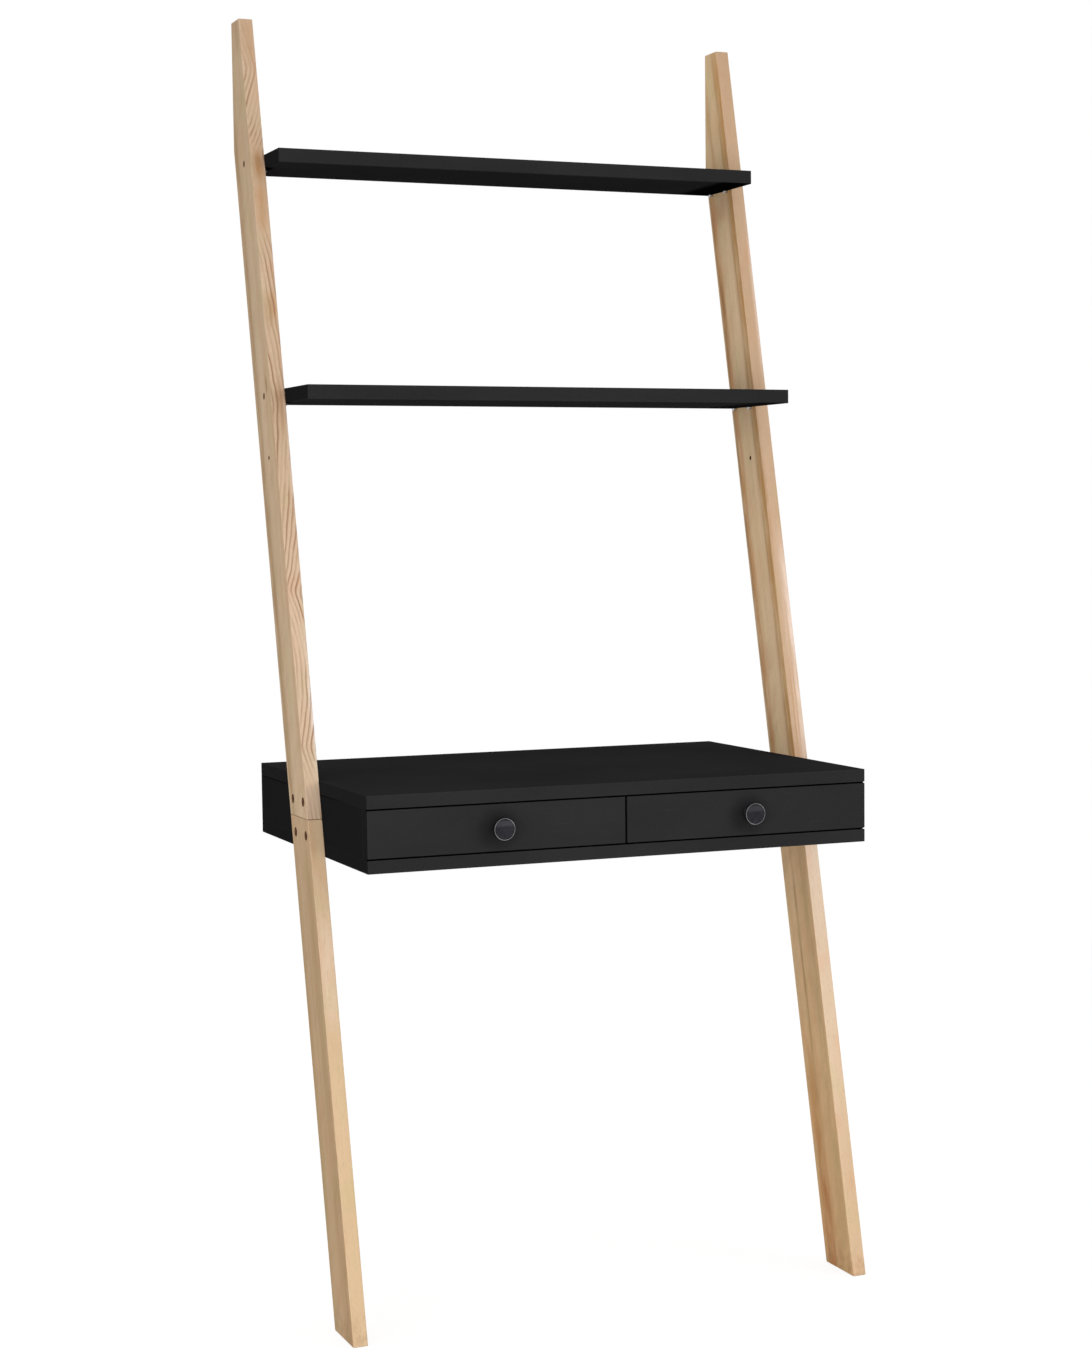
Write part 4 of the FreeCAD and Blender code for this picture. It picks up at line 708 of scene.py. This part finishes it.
BOARD_THICK = 18.0
UPRIGHTS_X = (BOARD_THICK / 2 - DESK_SIDE, 0.0, DESK_SIDE - BOARD_THICK / 2)
BACK_Y = 262.0
BASE_SCREWS = [(x, y) for x in UPRIGHTS_X for y in (-198.0, 194.0)] + [(x, BACK_Y) for x in (-240.0, 240.0)]
WOOD_SCREW_LONG = 50.0
SUNK_HEAD = (2.5, 47.4, 0.5), (4.3, 49.6, 0.15), (4.3, WOOD_SCREW_LONG, 0.1), (3.3, WOOD_SCREW_LONG, 0)
wood_screw = fastener(5.0, 32.0, 2.4, 0.34, SUNK_HEAD, cross_reach(turns, 2.5), 1.9, 0.55)
set_out("shelf_screws", wood_screw, from_sides(29.0, SHELF_SCREWS), browned, "desk_frame")
set_out("base_screws", wood_screw,
        [((x, y, BAY_Z - BOARD_THICK + WOOD_SCREW_LONG), towards(0, 0, -1)) for x, y in BASE_SCREWS],
        zinc, "desk_frame")

PIN_RADIUS = 3.0
PIN_OUTLINE = ((0, 0, 0), (PIN_RADIUS, 0, 1.0), (PIN_RADIUS, 6.0, 0.2), (2.8, 6.3, 0.1), (2.8, 6.7, 0.1),
               (PIN_RADIUS, 7.0, 0.2), (PIN_RADIUS, 15, 0.6), (0, 15, 0))
PIN_SPOTS = [(top - BOARD_THICK - PIN_RADIUS, reach) for top in SHELF_TOPS.values() for reach in (15.5, 69.0)]
pin_zinc = zinc_plate("zinc_plate_pins", 19.0, chip(214, 215, 218), chip(190, 192, 196), shaded_side=LEFT)
set_out("shelf_pins", turned(PIN_OUTLINE, 32), from_sides(6.0, PIN_SPOTS), pin_zinc, "desk_frame")


def pan_head(long, wide, head_wide, head_tall):
    """The outline of a low domed head on a shank."""
    head, under = head_wide / 2, long - head_tall
    return (wide / 2, under, 0.1), (head, under, 0.15), (head, long - 0.5, 0.4), (head * 0.62, long, 0)


SMALL_HEAD_TALL = 1.6


def small_screw(long):
    """A 3.5 mm screw with a pan head 6.8 mm wide, threaded to 1 mm below it."""
    head = pan_head(long, 3.5, 6.8, SMALL_HEAD_TALL)
    return fastener(3.5, long - SMALL_HEAD_TALL - 1.0, 1.4, 0.30, head, cross_reach(turns, 1.9), 1.1, 0.6)


BRACKET_SCREW_Z = SHELF_TOPS["top_shelf"] - 12.4
set_out("wall_bracket_screws", small_screw(16.0),
        [((x, 250.0, BRACKET_SCREW_Z), towards(0, 0, 1)) for x in (-300.0, 300.0)],
        zinc, "desk_frame")

BOX_INSIDE_Y = -217.0
KNOB_BOLT_LONG, KNOB_BOLT_HEAD_TALL, FRONT_SCREW_LONG = 40.0, 2.4, 25.3
KNOB_BOLT_Y = BOX_INSIDE_Y + KNOB_BOLT_HEAD_TALL - KNOB_BOLT_LONG
FRONT_SCREW_Y = BOX_INSIDE_Y + SMALL_HEAD_TALL - FRONT_SCREW_LONG
knob_bolt = fastener(4.0, 37.0, 0.7, 0.14, pan_head(KNOB_BOLT_LONG, 4.0, 8.0, KNOB_BOLT_HEAD_TALL),
                     cross_reach(turns, 2.4), 1.6, 0.6)
BAY_WALLS = {"inner": (BOARD_THICK / 2, 1), "outer": (DESK_SIDE - BOARD_THICK, -1)}
RUNNER_SPACE, RUNNER_Y, RUNNER_Z = 12.7, -226.0, 686.0
RUNNER_SCREW_REACHES, RUNNER_SCREW_BITE = (40.0, 190.0, 340.0), 8.7
runner_screw = small_screw(11.5)
for side_name, side in SIDES.items():
    drawer = side_name + "_drawer"
    set_out(drawer + "_knob_screw", knob_bolt,
            [((side * KNOB_X, KNOB_BOLT_Y, KNOB_Z), towards(0, 1, 0))], zinc, drawer)
    set_out(drawer + "_front_screws", small_screw(FRONT_SCREW_LONG),
            [((side * KNOB_X + reach, FRONT_SCREW_Y, KNOB_Z), towards(0, 1, 0)) for reach in (-110.0, 110.0)],
            zinc, drawer)
    for kind, body, off_wall, way in (("fixed", "desk_frame", 0.0, 1), ("moving", drawer, RUNNER_SPACE, -1)):
        set_out(f"{drawer}_{kind}_runner_screws", runner_screw,
                [((side * (wall + inward * (off_wall - way * RUNNER_SCREW_BITE)), RUNNER_Y + reach,
                   RUNNER_Z), towards(side * inward * way, 0, 0))
                 for wall, inward in BAY_WALLS.values() for reach in RUNNER_SCREW_REACHES],
                zinc, body)


# ---------------------------------------------------------------- ball runners
# Each drawer hangs on two ball runners of cold-rolled zinc-plated strip. The fixed and the moving
# member are channels with lips rolled round the balls, which a thin cage holds in a row.

def rolled_member(web, lip, ball, thick, start, end, long):
    """Bent strip carried along Y. The centre line runs up the web, leans to the lip and follows
    the race, an arc about the ball, and its mirror image runs down. Each point moves half the
    strip's thickness both ways along the line's normal to give the two faces."""
    race = np.radians(np.linspace(start, end, 12))
    radius = ball[2] + thick / 2
    arc = np.stack([ball[0] + radius * np.cos(race), ball[1] + radius * np.sin(race)], axis=1)
    corner = eased(((web, 0, 0), (web, lip, 1.5), (*arc[0], 0)), 5)
    half = np.concatenate([corner[1:-1], arc])
    line = np.concatenate([half[::-1] * (1, -1), half])
    along = np.gradient(line, axis=0)
    normal = np.stack([-along[:, 1], along[:, 0]], axis=1) / np.linalg.norm(along, axis=1)[:, None]
    faces = np.concatenate([line + normal * thick / 2, (line - normal * thick / 2)[::-1]])
    steps = np.array([0, 0.4, long - 0.4, long])
    rows = np.stack([np.stack([faces[:, 0], np.full(len(faces), y), faces[:, 1]], axis=1) for y in steps])
    around, count = len(faces), len(line)
    ring = np.arange(around)
    ahead = (ring + 1) % around
    start_row = around * np.arange(len(steps) - 1)[:, None]
    sides = np.stack([start_row + ring, start_row + ahead, start_row + around + ahead,
                      start_row + around + ring], axis=-1)
    strip = np.arange(count - 1)
    near = np.stack([around - 1 - strip, around - 2 - strip, strip + 1, strip], axis=-1)
    far = near[:, ::-1] + around * (len(steps) - 1)
    return rows.reshape(-1, 3), np.concatenate([sides.reshape(-1, 4), near, far]), np.empty((0, 3), int)


def rolled_steel(name, seed):
    """Cold-rolled strip: drawn lines along Y, cloudy zinc, and a film of grease near the balls."""
    material, shader, spot = new_finish(name)
    drawn = spot.noise((0.35, 90, 0.35), seed, 3.0)
    cloud = spot.noise((16, 40, 16), seed + 3, 3.0)
    grease = spot.noise((7, 24, 7), seed + 5, 3.0).step(0.52, 0.70)
    colour = cloud.step(0.3, 0.7).between(chip(184, 186, 189), chip(160, 162, 166))
    colour = (drawn.step(0.4, 0.7) * 0.25).between(colour, chip(138, 139, 142))
    colour = (grease * 0.35).between(colour, chip(122, 112, 92))
    wire(shader, {"Base Color": colour, "Metallic": 1.0,
                  "Roughness": 0.34 + drawn * 0.10 + cloud * 0.08 - grease * 0.14,
                  "Normal": relief(drawn, 0.12, 0.04)})
    return material


BALL_OUT, BALL_UP, BALL_RADIUS = 7.5, 10.6, 1.7
STRIP, RUNNER_LONG = 1.2, 400.0
fixed_member = rolled_member(STRIP / 2, 11.9, (BALL_OUT, BALL_UP, BALL_RADIUS), STRIP, 125.0, 15.0,
                             RUNNER_LONG)
moving_member = rolled_member(STRIP / 2, 8.3, (RUNNER_SPACE - BALL_OUT, BALL_UP, BALL_RADIUS), STRIP,
                              -138.0, -42.0, RUNNER_LONG)
HALF_TURN = np.diag([-1.0, 1.0, -1.0])
strip_steel = rolled_steel("rolled_steel", 6.0)
for side_name, side in SIDES.items():
    drawer = side_name + "_drawer"
    for place, (wall, inward) in BAY_WALLS.items():
        for kind, member, x, way, body in (
                ("fixed", fixed_member, wall, side * inward, "desk_frame"),
                ("moving", moving_member, wall + inward * RUNNER_SPACE, -side * inward, drawer)):
            set_out(f"{drawer}_{place}_{kind}_runner", member,
                    [((side * x, RUNNER_Y, RUNNER_Z), np.eye(3) if way > 0 else HALF_TURN)],
                    strip_steel, body, crisp=40)


def polished_steel(node, seed):
    """Bright cage strip and balls: mirror smooth, with a thin brown film of grease in places."""
    material, shader, spot = new_finish("polished_" + node)
    film = spot.noise((2.5, 5, 2.5), seed, 3.0).step(0.5, 0.72)
    haze = spot.noise((8, 14, 8), seed + 3, 2.0)
    colour = haze.step(0.3, 0.7).between(chip(206, 206, 208), chip(186, 187, 190))
    colour = (film * 0.4).between(colour, chip(140, 124, 96))
    wire(shader, {"Base Color": colour, "Metallic": 1.0, "Roughness": 0.14 + haze * 0.12 + film * 0.10,
                  "Normal": relief(haze, 0.05, 0.03)})
    dress(node, material)


polished_steel("left_drawer_ball_cages", 8.0)
polished_steel("right_drawer_ball_cages", 15.0)


# ---------------------------------------------------------------- dowels
# Fluted beech dowels locate the boards of the desk and of the drawers, and a long one stiffens
# the butt joint of each pair of rails. They are pressed in with glue and left bare.

def fluted_dowel(wide, long, flutes=16):
    """A dowel standing on its end: round with shallow flutes, so the radius at angle a falls by a
    twentieth of itself times one less the size of sin(flutes a / 2), and bevelled at both ends."""
    radius = wide / 2
    line = eased(((0, 0, 0), (radius - 0.8, 0, 0.2), (radius, 0.9, 0.3), (radius, long - 0.9, 0.3),
                  (radius - 0.8, long, 0.2), (0, long, 0)), 3)
    ridge = np.abs(np.sin(turn_steps(flutes * 4) * flutes / 2))
    return skin(rings(line[:, :1] * (1 - 0.05 * (1 - ridge)), line[:, 1:], flutes * 4))


def beech(name, seed):
    """Bare beech: cloudy pinkish straw with short dark flecks."""
    material, shader, spot = new_finish(name)
    tone = spot.noise((7, 7, 7), seed, 2.0)
    fleck = spot.noise((0.5, 0.5, 0.5), seed + 3, 2.0).step(0.60, 0.68)
    colour = tone.step(0.3, 0.7).between(chip(222, 184, 142), chip(202, 160, 118))
    colour = (fleck * 0.45).between(colour, chip(146, 104, 70))
    wire(shader, {"Base Color": colour, "Roughness": 0.68 + tone * 0.08, "Specular IOR Level": 0.2,
                  "Normal": relief(tone - fleck * 0.5, 0.25, 0.08)})
    return material


bare_beech = beech("bare_beech", 12.0)
up_rail = np.array([0, math.sin(LEAN), math.cos(LEAN)])
RAIL_DOWEL_LONG = 60.0
JOINTS = [(side * (DESK_SIDE + RAIL_THICK / 2), rail_y(RAIL_JOINT_Z, 40.5), RAIL_JOINT_Z)
          for side in (LEFT, RIGHT)]
set_out("rail_joint_dowels", fluted_dowel(8.0, RAIL_DOWEL_LONG),
        [(np.array(joint) - up_rail * RAIL_DOWEL_LONG / 2, towards(*up_rail)) for joint in JOINTS],
        bare_beech, "desk_frame")

DOWEL_DEEP = 20.0
set_out("carcass_dowels", fluted_dowel(8.0, 30.0),
        [((x, y, LID_Z - DOWEL_DEEP), towards(0, 0, 1)) for x in UPRIGHTS_X for y in (-166.0, 162.0)]
        + [((side * (DESK_SIDE - BOARD_THICK - DOWEL_DEEP), BACK_Y, z), towards(side, 0, 0))
           for side in (LEFT, RIGHT) for z in (684.0, 712.0)],
        bare_beech, "desk_frame")

BOX_WALL, CORNER_DOWEL_DEEP = 12.0, 16.0
dowel_start = RUNNER_SPACE + BOX_WALL + CORNER_DOWEL_DEEP
for side_name, side in SIDES.items():
    set_out(f"{side_name}_drawer_corner_dowels", fluted_dowel(6.0, 24.0, 12),
            [((side * (wall + inward * dowel_start), y, z), towards(-side * inward, 0, 0))
             for wall, inward in BAY_WALLS.values()
             for y in (BOX_INSIDE_Y - BOX_WALL / 2, 165.0) for z in (693.0, 709.0)],
            bare_beech, side_name + "_drawer")


# ---------------------------------------------------------------- cams, inserts and wall brackets
# Die-cast cams draw the desk top down on its cam bolts. Threaded inserts in the desk's sides take
# the rail bolts, and two pressed angle brackets on the top shelf take the wall screws.

def cast_zinc(node, seed):
    """Die-cast zinc: dull grey, finely pitted, darker in the hollows of its skin."""
    material, shader, spot = new_finish("cast_" + node)
    pits = spot.noise((0.7, 0.7, 0.7), seed, 3.0)
    flow = spot.noise((6, 6, 3), seed + 3, 3.0)
    colour = flow.step(0.3, 0.7).between(chip(172, 172, 173), chip(150, 150, 152))
    colour = (pits.step(0.58, 0.70) * 0.4).between(colour, chip(104, 104, 106))
    wire(shader, {"Base Color": colour, "Metallic": 1.0, "Roughness": 0.48 + flow * 0.12,
                  "Normal": relief(pits, 0.25, 0.06)})
    dress(node, material)


cast_zinc("cam_locks", 9.0)
dress("cam_bolts", zinc_plate("zinc_plate_cam_bolts", 31.0))
dress("rail_inserts", zinc_plate("zinc_plate_inserts", 37.0))
dress("wall_brackets", browned_steel("browned_brackets", 43.0, chip(62, 52, 46), chip(44, 38, 34)))


# ---------------------------------------------------------------- studio
# A pale seamless floor runs out into a white surround. Two broad lamps stand low, one in front and
# one far round to the left. A smaller one higher on the right and a weak one behind fill in.

def grey(share):
    """A colourless light of this strength."""
    return share, share, share, 1.0


def straight_look(start):
    """1 for what the camera sees directly, in a gloss or through glass, and 0 for scattered light."""
    path = start.node("ShaderNodeLightPath").socket.node
    seen = [Shade(start.tree, path.outputs[kind]) for kind in ("Is Camera Ray", "Is Glossy Ray",
                                                              "Is Transmission Ray")]
    return seen[0] + seen[1] + seen[2]


WHITE = grey(1.0)
scene = bpy.context.scene
surround = bpy.data.worlds.new("surround")
surround.use_nodes = True
scene.world = surround
sky = Shade(surround.node_tree)
wire(surround.node_tree.nodes["Background"],
     {"Color": straight_look(sky).between(grey(0.66), WHITE), "Strength": 1.0})

FLOOR_HALF, FLOOR_NEAR, FLOOR_FAR = 14.0, 1.4, 3.2
floor_mesh = bpy.data.meshes.new("studio_floor")
floor_mesh.from_pydata([(-FLOOR_HALF, -FLOOR_HALF, 0), (FLOOR_HALF, -FLOOR_HALF, 0),
                        (FLOOR_HALF, FLOOR_HALF, 0), (-FLOOR_HALF, FLOOR_HALF, 0)], [], [(0, 1, 2, 3)])
paper = bpy.data.materials.new("floor_paper")
paper.use_nodes = True
base = Shade(paper.node_tree)
paper_spot = base.node("ShaderNodeTexCoord", output="Object")
from_desk = paper_spot.node("ShaderNodeVectorMath", {"operation": "LENGTH"}, {0: paper_spot}, 1)
bounced = base.node("ShaderNodeBsdfDiffuse", (), {"Color": grey(0.7)})
shaded = base.node("ShaderNodeBsdfDiffuse", (), {"Color": grey(0.20)})
glow = base.node("ShaderNodeEmission", (), {"Color": WHITE, "Strength": 0.875})
white = base.node("ShaderNodeEmission", (), {"Color": WHITE, "Strength": 1.0})
near_floor = base.node("ShaderNodeAddShader", (), {0: shaded, 1: glow})
far_off = from_desk.step(FLOOR_NEAR, FLOOR_FAR)
seen_floor = base.node("ShaderNodeMixShader", (), {0: far_off, 1: near_floor, 2: white})
look = base.node("ShaderNodeMixShader", (), {0: straight_look(base), 1: bounced, 2: seen_floor})
paper.node_tree.links.new(look.socket, paper.node_tree.nodes["Material Output"].inputs["Surface"])
floor_mesh.materials.append(paper)
floor = bpy.data.objects.new("studio_floor", floor_mesh)
scene.collection.objects.link(floor)


def stand(thing, across, upward, backward, place):
    """Puts a lamp or the camera at a place, with its own three directions as a matrix's columns."""
    rows = np.stack([across, upward, backward], axis=1).tolist()
    thing.matrix_world = Matrix([[*row, at] for row, at in zip(rows, place)] + [[0, 0, 0, 1]])
    scene.collection.objects.link(thing)


def lamp(name, place, aim, wide, power):
    """A round soft lamp that faces a point, unseen itself."""
    light = bpy.data.lights.new(name, "AREA")
    light.shape, light.size, light.energy = "DISK", wide, power
    made = bpy.data.objects.new(name, light)
    made.visible_camera = False
    stand(made, *towards(*(np.array(place) - np.array(aim))), place)


lamp("front_lamp", place=(-0.50, -2.75, 0.55), aim=(0.0, -0.1, 0.70), wide=1.8, power=23.0)
lamp("side_lamp", place=(-2.95, -2.70, 0.60), aim=(0.0, -0.1, 0.60), wide=1.8, power=18.5)
lamp("key_lamp", place=(2.10, -2.30, 1.50), aim=(0.0, -0.1, 0.75), wide=1.2, power=14.0)
lamp("back_lamp", place=(1.50, 2.60, 0.90), aim=(0.0, 0.1, 0.90), wide=1.6, power=10.0)

CAMERA_PLACE = (-1.37585, -3.4232, 1.11285)
LENS, SHIFT_ACROSS, SHIFT_UP = 67.064, -0.0516, 0.0360
YAW, PITCH, ROLL = 0.4052, -0.0846, -0.0099
look_along = np.array([math.sin(YAW) * math.cos(PITCH), math.cos(YAW) * math.cos(PITCH), math.sin(PITCH)])
level = np.array([math.cos(YAW), -math.sin(YAW), 0.0])
upright = np.cross(level, look_along)
across = math.cos(ROLL) * level + math.sin(ROLL) * upright
upward = -math.sin(ROLL) * level + math.cos(ROLL) * upright
camera_data = bpy.data.cameras.new("camera")
camera_data.lens, camera_data.shift_x, camera_data.shift_y = LENS, SHIFT_ACROSS, SHIFT_UP
camera = bpy.data.objects.new("camera", camera_data)
stand(camera, across, upward, -look_along, CAMERA_PLACE)
scene.camera = camera
scene.view_settings.view_transform = "Standard"
